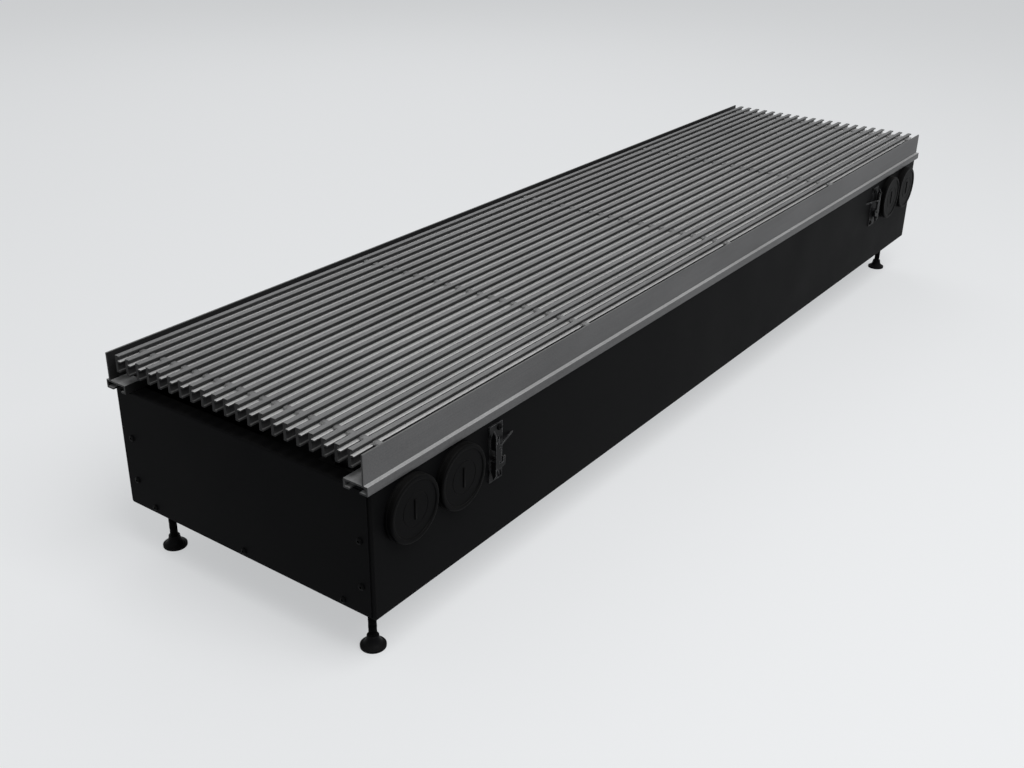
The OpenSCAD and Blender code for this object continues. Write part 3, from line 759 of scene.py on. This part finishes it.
def revolve(name, profile, steps=ROUND_STEPS, hollow=False):
    """A turned form about Z from (radius, height) pairs.

    The profile of a hollow form closes on itself. Any other form is closed by a face at each end.
    """
    rings = [ring_points(radius, height, steps) for radius, height in profile]
    faces = []
    for k in range(len(rings) if hollow else len(rings) - 1):
        this = k * steps
        following = (k + 1) % len(rings) * steps
        for i in range(steps):
            j = (i + 1) % steps
            faces.append((this + i, this + j, following + j, following + i))
    if not hollow:
        faces.append(range(steps))
        faces.append(range((len(rings) - 1) * steps, len(rings) * steps))
    piece = new_mesh_object(name, [point for ring in rings for point in ring], faces)
    point_out(piece.data)
    return piece


def hexagon(flat_radius):
    """The radius of a hexagon at an angle, from the radius of the circle inside it."""
    def radius(angle):
        from_flat = (angle + math.pi / 6) % (math.pi / 3) - math.pi / 6
        return flat_radius / math.cos(from_flat)
    return radius


def arc(centre, radius, start, end, steps):
    """Points of an arc in a profile, angles in degrees."""
    angles = [math.radians(start + (end - start) * i / steps) for i in range(steps + 1)]
    return [(centre[0] + radius * math.cos(angle), centre[1] + radius * math.sin(angle)) for angle in angles]


# Geometry node trees

def geometry_tree(name, inputs):
    """A geometry tree with named inputs; returns its desk, its inputs and its output node."""
    tree = bpy.data.node_groups.new(name, "GeometryNodeTree")
    for label, kind in (("Geometry", GEOMETRY), *inputs, ("Finish", MATERIAL)):
        tree.interface.new_socket(name=label, in_out="INPUT", socket_type=kind)
    tree.interface.new_socket(name="Geometry", in_out="OUTPUT", socket_type=GEOMETRY)
    desk = Desk(tree)
    return desk, desk.add("NodeGroupInput").outputs, desk.add("NodeGroupOutput").inputs


def end_tree(desk, put, given, geometry):
    """Realises the instances and sets the material, the end of every tree here."""
    real = desk.result("GeometryNodeRealizeInstances", {"Geometry": geometry})
    coloured = desk.result("GeometryNodeSetMaterial", {"Geometry": real, "Material": given["Finish"]})
    desk.feed(put["Geometry"], coloured)
    return desk.tree


def section_tree():
    """A closed section, its corners rounded, drawn out along X."""
    desk, given, put = geometry_tree("Drawn section", (
        ("Length", FLOAT), ("Corner radius", FLOAT), ("Corner steps", INTEGER)))
    curve = desk.result("GeometryNodeMeshToCurve", {"Mesh": given["Geometry"]})
    rounded = desk.result("GeometryNodeFilletCurve", {
        "Curve": curve, "Radius": given["Corner radius"], "Count": given["Corner steps"],
        "Limit Radius": True}, mode="POLY")
    level = desk.result("GeometryNodeTransform", {"Geometry": rounded, "Rotation": (0.0, QUARTER, 0.0)})
    filled = desk.result("GeometryNodeFillCurve", {"Curve": level}, mode="NGONS")
    upright = desk.result("GeometryNodeTransform", {"Geometry": filled, "Rotation": (0.0, -QUARTER, 0.0)})
    reach = desk.result("ShaderNodeCombineXYZ", {"X": given["Length"]})
    drawn = desk.result("GeometryNodeExtrudeMesh", {
        "Mesh": upright, "Offset": reach, "Offset Scale": 1.0, "Individual": False}, mode="FACES")
    both = desk.add("GeometryNodeJoinGeometry")
    for half in (drawn, desk.result("GeometryNodeFlipFaces", {"Mesh": upright})):
        desk.feed(both.inputs[0], half)
    closed = desk.result("GeometryNodeMergeByDistance", {"Geometry": both.outputs[0], "Distance": MERGE})
    return end_tree(desk, put, given, closed)


def row_tree():
    """One form repeated along X at a given pitch."""
    desk, given, put = geometry_tree("Row", (("Count", INTEGER), ("Pitch", FLOAT), ("Form", OBJECT)))
    step = desk.result("ShaderNodeCombineXYZ", {"X": given["Pitch"]})
    line = desk.result("GeometryNodeMeshLine", {"Count": given["Count"], "Offset": step}, mode="OFFSET")
    form = desk.add("GeometryNodeObjectInfo", {"Object": given["Form"]}).outputs["Geometry"]
    spread = desk.result("GeometryNodeInstanceOnPoints", {"Points": line, "Instance": form})
    return end_tree(desk, put, given, spread)


def scatter_tree():
    """One form at each point of the object, its +Z turned to the point's own facing."""
    desk, given, put = geometry_tree("Placed forms", (("Form", OBJECT),))
    facing = desk.result("GeometryNodeInputNamedAttribute", {"Name": "facing"}, data_type="FLOAT_VECTOR")
    turn = desk.result("FunctionNodeAlignRotationToVector", {"Vector": facing}, axis="Z")
    form = desk.add("GeometryNodeObjectInfo", {"Object": given["Form"]}).outputs["Geometry"]
    spread = desk.result("GeometryNodeInstanceOnPoints", {
        "Points": given["Geometry"], "Instance": form, "Rotation": turn})
    return end_tree(desk, put, given, spread)


def thread_tree():
    """A thread: a ridge of triangular section wound round Z."""
    desk, given, put = geometry_tree("Thread", (
        ("Radius", FLOAT), ("Depth", FLOAT), ("Pitch", FLOAT), ("Turns", FLOAT)))
    height = desk.times(given["Pitch"], given["Turns"])
    # The radius of the circle round a regular triangle that is as high as the thread is deep
    section = desk.times(given["Depth"], 0.667)
    middle = desk.maths("SUBTRACT", given["Radius"], section)
    helix = desk.result("GeometryNodeCurveSpiral", {
        "Resolution": SMALL_STEPS, "Rotations": given["Turns"], "Start Radius": middle, "End Radius": middle,
        "Height": height})
    ridge = desk.result("GeometryNodeCurvePrimitiveCircle", {"Resolution": 3, "Radius": section})
    swept = desk.result("GeometryNodeCurveToMesh", {
        "Curve": helix, "Profile Curve": ridge, "Fill Caps": True})
    return end_tree(desk, put, given, swept)


def make_trees():
    """Builds every geometry tree once."""
    return {"section": section_tree(), "row": row_tree(), "scatter": scatter_tree(), "thread": thread_tree()}


def grown(host, tree, name, **values):
    """Puts a tree on an object, sets its inputs by name and returns the result as a plain mesh object."""
    modifier = host.modifiers.new(name, "NODES")
    modifier.node_group = TREES[tree]
    for item in TREES[tree].interface.items_tree:
        label = item.name.replace(" ", "_")
        if item.in_out == "INPUT" and label in values:
            modifier[item.identifier] = values[label]
    bpy.context.view_layer.update()
    depsgraph = bpy.context.evaluated_depsgraph_get()
    mesh = bpy.data.meshes.new_from_object(host.evaluated_get(depsgraph), depsgraph=depsgraph)
    host.modifiers.remove(modifier)
    bpy.data.objects.remove(host)
    mesh.name = name
    return add_object(name, mesh)


def drawn_out(node, outline, radius, finish):
    """A piece of constant section in place of a node: an outline of (y, z) points as long as the node."""
    low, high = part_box(node)
    name = node + "_profile"
    edges = [(i, (i + 1) % len(outline)) for i in range(len(outline))]
    host = new_mesh_object(name + "_outline", [(0.0, y, z) for y, z in outline], edges=edges)
    piece = grown(host, "section", name, Length=high.x - low.x, Corner_radius=radius,
                  Corner_steps=CORNER_STEPS, Finish=FINISH[finish])
    place(piece, (low.x, 0, 0))
    point_out(piece.data)
    smooth(piece)
    settle(piece, finish, node)


def scattered(name, form, spots, finish):
    """One form at many spots, each a place and the way that the form's +Z faces there."""
    host = new_mesh_object(name + "_spots", [spot for spot, _ in spots])
    facing = host.data.attributes.new("facing", "FLOAT_VECTOR", "POINT")
    for i, (_, way) in enumerate(spots):
        facing.data[i].vector = way
    piece = grown(host, "scatter", name, Form=form, Finish=FINISH[finish])
    bpy.data.objects.remove(form)
    return piece


def threaded(name, radius, depth, pitch, low, high, finish):
    """A thread's ridge about Z between two heights."""
    host = new_mesh_object(name + "_seat", [(0, 0, 0)])
    turns = (high - low) / pitch - 1
    piece = grown(host, "thread", name, Radius=radius, Depth=depth, Pitch=pitch, Turns=turns,
                  Finish=FINISH[finish])
    return place(piece, (0, 0, low + pitch / 2))


# The object's own forms

def bar_outline(low, high, look):
    """Outline of a grille bar inside the box of its node: flange, web, side ledge and foot."""
    far, top, bottom = high.y, high.z, low.z
    near = far - look.flange_width
    face = far - look.web_thickness
    toe = face - look.foot_out
    nose = low.y + look.ledge_inset
    under_flange = top - look.flange_thickness
    ledge = top - look.ledge_drop
    under_ledge = ledge - look.ledge_thickness
    instep = bottom + look.foot_height
    return [(near, top), (far, top), (far, bottom), (toe, bottom), (toe, instep), (face, instep),
            (face, under_ledge), (nose, under_ledge), (nose, ledge), (face, ledge), (face, under_flange),
            (near, under_flange)]


def rail_outline(low, high, side, look):
    """Outline of a rail: side is -1 on the near rail and 1 on the far one."""
    outer, inner = (low.y, high.y) if side < 0 else (high.y, low.y)
    top, bottom = high.z, low.z
    wall = look.rail_wall
    inward = -side
    web = outer + inward * look.rail_ledge
    back = web + inward * wall
    ledge = top - look.rail_web
    under = ledge - wall
    floor = bottom + wall
    skirt = outer + inward * wall
    lip = outer + inward * look.rail_lip
    inner_skirt = inner - inward * wall
    hook = inner - inward * look.rail_hook
    return [(web, top), (back, top), (back, ledge), (inner, ledge), (inner, bottom), (hook, bottom),
            (hook, floor), (inner_skirt, floor), (inner_skirt, under), (skirt, under), (skirt, floor),
            (lip, floor), (lip, bottom), (outer, bottom), (outer, ledge), (web, ledge)]


def strip_outline(low, high):
    """Outline of a rubber strip with grooves along its top."""
    pitch = (high.y - low.y) / (2 * STRIP_GROOVES + 1)
    groove = high.z - (high.z - low.z) * 0.35
    outline = [(low.y, low.z), (high.y, low.z)]
    for k in range(STRIP_GROOVES + 1):
        right = high.y - 2 * k * pitch
        outline += [(right, high.z), (right - pitch, high.z)]
        if k < STRIP_GROOVES:
            outline += [(right - pitch, groove), (right - 2 * pitch, groove)]
    return outline


def fin_form(width, height, thickness, ripple):
    """One fin: a thin sheet with ripples, standing on its lower edge at the origin."""
    steps = FIN_RIBS * 2
    front = []
    for i in range(steps + 1):
        y = -width / 2 + width * i / steps
        x = ripple * (i % 2)
        front += [(x, y, 0.0), (x, y, height)]
    back = [(x + thickness, y, z) for x, y, z in front]
    offset = len(front)
    faces = []
    for i in range(steps):
        a, b, c, d = 2 * i, 2 * i + 1, 2 * i + 3, 2 * i + 2
        faces += [(a, b, c, d), (a + offset, d + offset, c + offset, b + offset),
                  (a, d, d + offset, a + offset), (b, b + offset, c + offset, c)]
    last = 2 * steps
    faces += [(0, offset, offset + 1, 1), (last, last + 1, last + 1 + offset, last + offset)]
    fin = new_mesh_object("fin_form", front + back, faces)
    point_out(fin.data)
    return fin


def hex_nut(name, flat_radius, bore, height):
    """A hexagon nut with turned corners, its underside at the origin."""
    six = hexagon(flat_radius)
    corner = flat_radius / math.cos(math.radians(30))
    drop = (corner - flat_radius) * math.tan(math.radians(30))
    chamfer = 0.8 * MM
    # At both faces the corners are turned down to just outside the flats
    turned_to = flat_radius * 1.01

    def shrunk(angle):
        return min(six(angle), turned_to)

    return revolve(name, [
        (bore + chamfer, 0.0), (shrunk, 0.0), (six, drop), (six, height - drop), (shrunk, height),
        (bore + chamfer, height), (bore, height - chamfer), (bore, chamfer)], hollow=True)


def pan_screw(name, radius, head, length, shank):
    """A pan-head screw with a hexagon socket, the top of its head at the origin, pointing down."""
    socket = hexagon(radius * 0.36)
    socket_floor = -head * 0.65
    crown = radius * 0.55
    cheek = -head * 0.7
    tip = shank * 0.6
    profile = [
        (tip, -length), (shank, -length + shank * 0.5), (shank, -head), (radius, -head), (radius, cheek)]
    for degrees in (20, 40, 60, 90):
        angle = math.radians(degrees)
        profile.append((crown + (radius - crown) * math.cos(angle), cheek * (1 - math.sin(angle))))
    return revolve(name, profile + [(socket, 0.0), (socket, socket_floor)], SMALL_STEPS)


def rivet(name, radius, height):
    """A blind rivet, the end of its swelled tail at the origin and its domed head at the top."""
    shank = 2.0 * MM
    head_radius = 2.7 * MM
    head = height - 1.0 * MM
    return revolve(name, [
        (radius * 0.6, 0.0), (radius, 0.4 * MM), (radius, 0.9 * MM), (shank, 1.2 * MM), (shank, head),
        (head_radius, head), (head_radius - 0.1 * MM, head + 0.5 * MM),
        (head_radius - 1.0 * MM, head + 0.85 * MM), (head_radius - 2.0 * MM, height)], RIVET_STEPS)


def cap_form(low, high, look):
    """A blanking cap in its own frame: Z out of the wall, the wall's side at 0."""
    radius = (high.x - low.x) / 2
    depth = high.y - low.y
    skirt = radius - 3.2 * MM
    ceiling = depth - 2.4 * MM
    # A groove round the outside, and the small break of each edge along it
    waist = radius - 0.5 * MM
    groove_low, groove_high = 3.6 * MM, 4.6 * MM
    profile = [(AXIS, ceiling), (skirt, ceiling), (skirt, 0.0), (waist, 0.0), (radius, 0.5 * MM),
               (radius, groove_low - 0.4 * MM), (waist, groove_low), (waist, groove_high),
               (radius, groove_high + 0.4 * MM)]
    # The rounded rim, and the face sunk inside it
    rim = look.cap_rounding
    sunk = 1.0 * MM
    face = depth - sunk
    inner = radius - rim - 3.0 * MM
    profile += arc((radius - rim, depth - rim), rim, 0, 90, 6)
    profile.append((inner, depth))
    profile += arc((inner, depth - sunk / 2), sunk / 2, 90, 180, 3)
    profile.append((inner - sunk, face))
    # A shallow ring scored in the face
    ring = radius * 0.52
    score = face - 0.35 * MM
    profile += [(ring + 0.4 * MM, face), (ring, score), (ring - 0.9 * MM, score), (ring - 1.3 * MM, face),
                (AXIS, face)]
    disc = revolve("cap_disc", profile, CAP_STEPS, hollow=True)
    half, width = look.cap_grip_length / 2, look.cap_grip_width / 2
    grip = slab("cap_grip", (-width, -half, face - 0.3 * MM), (width, half, depth), 0.45 * MM)
    return join("cap", [disc, grip])


# Operators, one for each piece or group of like pieces

class TRENCH_OT_stage(bpy.types.Operator):
    """Floor, lamps, world and camera"""
    bl_idname = "trench.stage"
    bl_label = "Stage"

    def execute(self, context):
        look = context.scene.trench_stage
        context.scene.view_settings.view_transform = "Standard"
        self.floor(look)
        self.world(context.scene, look)
        self.lamp("key", look.key_place, look.key_aim, look.lamp_size, look.key_power)
        self.lamp("fill", look.fill_place, look.fill_aim, look.lamp_size, look.fill_power)
        self.camera(context.scene, look)
        return {"FINISHED"}

    def seen(self, desk):
        """1 where the camera, a reflection or glass looks, 0 for the light that bounces."""
        path = desk.add("ShaderNodeLightPath").outputs
        mirrored = desk.maths("MAXIMUM", path["Is Glossy Ray"], path["Is Transmission Ray"])
        return desk.maths("MAXIMUM", path["Is Camera Ray"], mirrored)

    def floor(self, look):
        """A wide floor that the camera and the reflections see paler than it lights the part."""
        reach = 14.0
        corners = [(-reach, -reach, 0), (reach, -reach, 0), (reach, reach, 0), (-reach, reach, 0)]
        floor = new_mesh_object("floor", corners, [(0, 1, 2, 3)])
        finish = Finish("floor_paint", Roughness=0.8, Specular_IOR_Level=0.0)
        desk = finish.desk
        seen = self.seen(desk)
        clouds = desk.noise(desk.stretched(), 0.7, 2.0, 0.5)
        colour = look.floor_colour
        pale = desk.blend(clouds, opaque(colour, 0.98), opaque(colour, 1.02))
        finish.set("Base Color", desk.blend(seen, opaque(colour, 0.5), pale))
        finish.set("Emission Color", STUDIO_WHITE)
        finish.set("Emission Strength", desk.times(seen, look.floor_lift))
        floor.data.materials.append(finish.material)

    def world(self, scene, look):
        """A pale backdrop to look at, and a weaker sky that lights."""
        world = bpy.data.worlds.new("studio")
        world.use_nodes = True
        desk = Desk(world.node_tree)
        background = world.node_tree.nodes["Background"].inputs
        desk.feed(background["Color"], STUDIO_WHITE)
        desk.feed(background["Strength"], desk.spread(self.seen(desk), 0.0, 1.0, look.sky, look.backdrop))
        scene.world = world

    def lamp(self, name, spot, aim, size, power):
        """A square lamp at a spot, turned to its aim."""
        data = bpy.data.lights.new(name, "AREA")
        data.shape = "SQUARE"
        data.size = size
        data.energy = power
        lamp = add_object(name, data)
        lamp.location = spot
        lamp.rotation_euler = (Vector(aim) - Vector(spot)).to_track_quat("-Z", "Y").to_euler()

    def camera(self, scene, look):
        """The camera that took the photograph, as its straight edges give it."""
        flat = math.cos(look.fall)
        forward = Vector((math.sin(look.azimuth) * flat, math.cos(look.azimuth) * flat, -math.sin(look.fall)))
        level = forward.cross(Vector((0, 0, 1))).normalized()
        right = level * math.cos(look.roll) + level.cross(forward) * math.sin(look.roll)
        up = right.cross(forward)
        data = bpy.data.cameras.new("photo_view")
        data.lens = look.lens
        data.sensor_width = 36.0
        camera = add_object("photo_view", data)
        turn = Matrix((right, up, -forward)).transposed().to_4x4()
        camera.matrix_world = Matrix.Translation(look.eye) @ turn
        scene.camera = camera


class TRENCH_OT_casing(bpy.types.Operator):
    """Powder coat on the folded trough and its end walls"""
    bl_idname = "trench.casing"
    bl_label = "Casing"

    def execute(self, context):
        dress("powder_coat", "trough", "end_wall_near", "end_wall_far")
        return {"FINISHED"}


class TRENCH_OT_rails(bpy.types.Operator):
    """The two extruded frame rails, with rounded long edges"""
    bl_idname = "trench.rails"
    bl_label = "Frame rails"

    def execute(self, context):
        look = context.scene.trench_grille
        for node, side in (("frame_rail_near", -1), ("frame_rail_far", 1)):
            drawn_out(node, rail_outline(*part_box(node), side, look), look.rail_round, "rail_metal")
        return {"FINISHED"}


class TRENCH_OT_bars(bpy.types.Operator):
    """The grille's extruded bars, with rounded long edges"""
    bl_idname = "trench.bars"
    bl_label = "Grille bars"

    def execute(self, context):
        look = context.scene.trench_grille
        for node in BARS:
            drawn_out(node, bar_outline(*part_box(node), look), look.bar_round, "bar_metal")
        return {"FINISHED"}


class TRENCH_OT_seats(bpy.types.Operator):
    """Cross supports and the rubber strips under them"""
    bl_idname = "trench.seats"
    bl_label = "Supports and strips"

    def execute(self, context):
        look = context.scene.trench_grille
        dress("support_metal", *SUPPORTS)
        for node in ("damping_strip_near", "damping_strip_far"):
            drawn_out(node, strip_outline(*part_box(node)), look.strip_round, "rubber")
        return {"FINISHED"}


class TRENCH_OT_spacers(bpy.types.Operator):
    """The blocks that bridge from bar to bar over every cross support"""
    bl_idname = "trench.spacers"
    bl_label = "Spacer blocks"

    def execute(self, context):
        look = context.scene.trench_grille
        boxes = solid_boxes("bar_spacers")
        low, high = boxes[0]
        half = (high - low) / 2
        top = Vector((half.x, half.y, half.z - look.spacer_drop))
        block = slab("spacer_form", -half, top, look.spacer_round)
        spots = [((low + high) / 2, (0, 0, 1)) for low, high in boxes]
        settle(scattered("spacer_blocks", block, spots, "spacer_metal"), "spacer_metal", "bar_spacers")
        return {"FINISHED"}


class TRENCH_OT_fins(bpy.types.Operator):
    """The exchanger's rippled fins and the sleeves round its tubes"""
    bl_idname = "trench.fins"
    bl_label = "Fin block"

    def execute(self, context):
        look = context.scene.trench_fittings
        low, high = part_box("fin_block")
        span = high.x - low.x
        count = round((span - look.fin_thickness) / look.fin_pitch) + 1
        form = fin_form(high.y - low.y, high.z - low.z, look.fin_thickness, look.fin_ripple)
        host = new_mesh_object("fin_row_seat", [(0, 0, 0)])
        fins = grown(host, "row", "fin_row", Count=count, Pitch=look.fin_pitch, Form=form,
                     Finish=FINISH["graphite"])
        bpy.data.objects.remove(form)
        squeeze = (span - look.fin_ripple - look.fin_thickness) / (look.fin_pitch * (count - 1))
        place(fins, (low.x, (low.y + high.y) / 2, low.z), Matrix.Diagonal((squeeze, 1, 1, 1)))
        block = join("fin_block_coated", [fins] + self.sleeves(low, high, look))
        smooth(block)
        settle(block, "graphite", "fin_block")
        return {"FINISHED"}

    def sleeves(self, low, high, look):
        """The drawn collars that stack into a sleeve round each tube."""
        tube_low, tube_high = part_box("heater_coil")
        reach = (tube_high - tube_low) / 2 - Vector((0, look.tube_radius, look.tube_radius))
        middle = (tube_low + tube_high) / 2
        bore = look.tube_radius + 0.05 * MM
        wall = look.tube_radius + 0.6 * MM
        length = high.x - low.x
        profile = [(bore, 0), (wall, 0), (wall, length), (bore, length)]
        along_x = Matrix.Rotation(QUARTER, 4, "Y")
        made = []
        for y in (-1, 1):
            for z in (-1, 1):
                sleeve = revolve("sleeve", profile, SMALL_STEPS, hollow=True)
                made.append(place(sleeve, (low.x, middle.y + y * reach.y, middle.z + z * reach.z), along_x))
        return made


class TRENCH_OT_pipework(bpy.types.Operator):
    """Coil, brackets, unions and vent"""
    bl_idname = "trench.pipework"
    bl_label = "Pipework"

    def execute(self, context):
        dress("graphite", "heater_coil", "coil_bracket_near", "coil_bracket_far")
        dress("brass", "bleed_valve")
        dress("nickel", "bleed_screw")
        for node in ("flow_union", "return_union"):
            self.union(node)
        return {"FINISHED"}

    def union(self, node):
        """A union on a tube's end, along X: threaded end, collar and clamping nut."""
        low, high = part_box(node)
        length = high.x - low.x
        thread_end = 14 * MM
        collar_end = 19 * MM
        seat = length - 6 * MM
        mouth = length - 0.2 * MM
        bore = 6.5 * MM
        collar = 12.0 * MM
        core = 12.4 * MM
        nose = 11.0 * MM
        opening = 7.6 * MM
        body = revolve(node + "_body", [
            (bore, 0.0), (collar, 0.0), (core, 0.6 * MM), (core, thread_end), (collar, thread_end),
            (collar, collar_end), (nose, length - 0.5 * MM), (opening + 0.6 * MM, mouth), (opening, mouth),
            (opening, seat), (bore, seat)], hollow=True)
        nut = hex_nut(node + "_nut", flat_radius=13.4 * MM, bore=8.0 * MM, height=length - collar_end)
        place(nut, (0, 0, collar_end))
        ridge = threaded(node + "_thread", radius=13.2 * MM, depth=1.0 * MM, pitch=1.8 * MM,
                         low=0.3 * MM, high=thread_end - 0.3 * MM, finish="brass")
        piece = join(node + "_turned", [body, nut, ridge])
        place(piece, (low.x, (low.y + high.y) / 2, (low.z + high.z) / 2), Matrix.Rotation(QUARTER, 4, "Y"))
        smooth(piece)
        settle(piece, "brass", node)


class TRENCH_OT_caps(bpy.types.Operator):
    """The blanking caps on the casing's side"""
    bl_idname = "trench.caps"
    bl_label = "Blanking caps"

    def execute(self, context):
        look = context.scene.trench_fittings
        for node in CAPS:
            low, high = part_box(node)
            cap = cap_form(low, high, look)
            cap.name = node + "_moulded"
            seat = ((low.x + high.x) / 2, high.y, (low.z + high.z) / 2)
            place(cap, seat, Matrix.Rotation(QUARTER, 4, "X"))
            point_out(cap.data)
            smooth(cap)
            settle(cap, "cap_plastic", node)
        return {"FINISHED"}


class TRENCH_OT_anchors(bpy.types.Operator):
    """The folded anchors on the casing's side"""
    bl_idname = "trench.anchors"
    bl_label = "Anchors"

    def execute(self, context):
        dress("anchor_steel", "anchor_near", "anchor_far")
        return {"FINISHED"}


class TRENCH_OT_feet(bpy.types.Operator):
    """Pads, threaded screws and lock nuts of the levelling feet"""
    bl_idname = "trench.feet"
    bl_label = "Levelling feet"

    def execute(self, context):
        look = context.scene.trench_fittings
        nuts = []
        for pad_node, screw_node in zip(PADS, SCREWS):
            self.pad(pad_node, look)
            self.screw(screw_node, look)
            nuts += self.nuts(screw_node, look)
        piece = join("foot_nuts_turned", nuts)
        smooth(piece)
        settle(piece, "screw_black", "foot_nuts")
        return {"FINISHED"}

    def pad(self, node, look):
        """A moulded pad: a recess under it, an upright rim, a hollow flare to the neck and a blind bore."""
        low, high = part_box(node)
        radius = (high.x - low.x) / 2
        height = high.z - low.z
        bore, neck, rim = look.foot_bore, look.pad_neck, look.pad_rim
        bore_floor = 3.5 * MM
        recess = 0.6 * MM
        sole = radius - 4 * MM
        toe = 0.9 * MM
        brow = 0.6 * MM
        profile = [(bore, bore_floor), (AXIS, bore_floor), (AXIS, recess), (sole, recess), (sole, 0.0),
                   (radius - toe, 0.0)]
        profile += arc((radius - toe, toe), toe, -60, 0, 3)
        profile += arc((radius - brow, rim - 0.8 * MM), brow, 0, 70, 4)
        for degrees in range(80, 0, -10):
            angle = math.radians(degrees)
            flare = radius - (radius - neck) * math.cos(angle)
            profile.append((flare, height - (height - rim) * math.sin(angle)))
        profile += [(neck, height - 0.5 * MM), (neck - 0.5 * MM, height), (bore, height)]
        pad = revolve(node + "_moulded", profile, hollow=True)
        place(pad, base_of(low, high))
        smooth(pad)
        settle(pad, "foot_plastic", node)

    def screw(self, node, look):
        """A foot screw with a hexagon socket in its upper end."""
        low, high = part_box(node)
        radius = (high.x - low.x) / 2
        length = high.z - low.z
        core = radius - look.thread_depth
        socket = hexagon(2.5 * MM)
        rod = revolve(node + "_rod", [
            (core - 0.5 * MM, 0.0), (core, 0.5 * MM), (core, length - 1.0 * MM), (core - 0.7 * MM, length),
            (socket, length), (socket, length - 6.0 * MM)])
        ridge = threaded(node + "_ridge", radius, look.thread_depth, look.thread_pitch,
                         low=0.4 * MM, high=length - 0.8 * MM, finish="screw_black")
        piece = join(node + "_threaded", [rod, ridge])
        place(piece, base_of(low, high))
        smooth(piece, THREAD_ANGLE)
        settle(piece, "screw_black", node)

    def nuts(self, screw_node, look):
        """The lock nuts of one foot, one over the casing's floor and one under it."""
        spot = base_of(*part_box(screw_node))
        nut_low, nut_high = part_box("foot_nuts")
        made = []
        for height in (nut_low.z, nut_high.z - look.nut_height):
            nut = hex_nut("lock_nut", look.nut_flat, look.foot_bore, look.nut_height)
            made.append(place(nut, (spot.x, spot.y, height)))
        return made


class TRENCH_OT_fasteners(bpy.types.Operator):
    """Screws of the casing and rivets of the rails"""
    bl_idname = "trench.fasteners"
    bl_label = "Fasteners"

    def execute(self, context):
        self.screws(context.scene.trench_fittings)
        self.rivets()
        return {"FINISHED"}

    def screws(self, look):
        """Pan-head screws: one points out of an end wall, up from a bracket or out of an anchor."""
        boxes = solid_boxes("casing_screws")
        spots = []
        for low, high in boxes:
            size = high - low
            axis = max(range(3), key=lambda k: size[k])
            way = Vector((0, 0, 0))
            way[axis] = -1 if axis == 1 or (axis == 0 and low.x < 0) else 1
            seat = (low + high) / 2
            seat[axis] = high[axis] if way[axis] > 0 else low[axis]
            spots.append((seat, way))
        size = boxes[0][1] - boxes[0][0]
        form = pan_screw("screw_form", min(size) / 2, look.screw_head, max(size), look.screw_shank)
        self.set_in("casing_screws_turned", form, spots, "screw_black", "casing_screws")

    def rivets(self):
        """Blind rivets, upright, that hold the rails on the casing's flanges."""
        boxes = solid_boxes("rail_rivets")
        low, high = boxes[0]
        form = rivet("rivet_form", (high.x - low.x) / 2, high.z - low.z)
        spots = [(base_of(low, high), (0, 0, 1)) for low, high in boxes]
        self.set_in("rail_rivets_set", form, spots, "rail_metal", "rail_rivets")

    def set_in(self, name, form, spots, finish, node):
        """Puts a fastener's form at all its spots, in place of the node."""
        piece = scattered(name, form, spots, finish)
        smooth(piece)
        settle(piece, finish, node)


OPERATORS = (
    TRENCH_OT_stage, TRENCH_OT_casing, TRENCH_OT_rails, TRENCH_OT_bars, TRENCH_OT_seats,
    TRENCH_OT_spacers, TRENCH_OT_fins, TRENCH_OT_pipework, TRENCH_OT_caps, TRENCH_OT_anchors,
    TRENCH_OT_feet, TRENCH_OT_fasteners)


class TRENCH_PT_panel(bpy.types.Panel):
    """Lists the pieces and their settings"""
    bl_idname = "TRENCH_PT_panel"
    bl_label = "Trench Heater"
    bl_space_type = "VIEW_3D"
    bl_region_type = "UI"
    bl_category = "Trench Heater"

    def draw(self, context):
        for operator in OPERATORS:
            self.layout.operator(operator.bl_idname)
        for settings in GROUPS:
            group = getattr(context.scene, settings)
            box = self.layout.box()
            for name in group.bl_rna.properties.keys():
                if name not in ("rna_type", "name"):
                    box.prop(group, name)


GROUPS = {
    "trench_grille": GrilleSettings, "trench_fittings": FittingSettings, "trench_finishes": FinishSettings,
    "trench_stage": StageSettings}


def register():
    for group in GROUPS.values():
        bpy.utils.register_class(group)
    for name, group in GROUPS.items():
        setattr(bpy.types.Scene, name, PointerProperty(type=group))
    for operator in OPERATORS:
        bpy.utils.register_class(operator)
    bpy.utils.register_class(TRENCH_PT_panel)


def unregister():
    bpy.utils.unregister_class(TRENCH_PT_panel)
    for operator in reversed(OPERATORS):
        bpy.utils.unregister_class(operator)
    for name in GROUPS:
        delattr(bpy.types.Scene, name)
    for group in reversed(list(GROUPS.values())):
        bpy.utils.unregister_class(group)


def main():
    """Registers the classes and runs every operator."""
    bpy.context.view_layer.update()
    register()
    FINISH.update(make_finishes())
    TREES.update(make_trees())
    for operator in OPERATORS:
        getattr(bpy.ops.trench, operator.bl_idname.split(".")[1])()


if __name__ == "__main__":
    main()
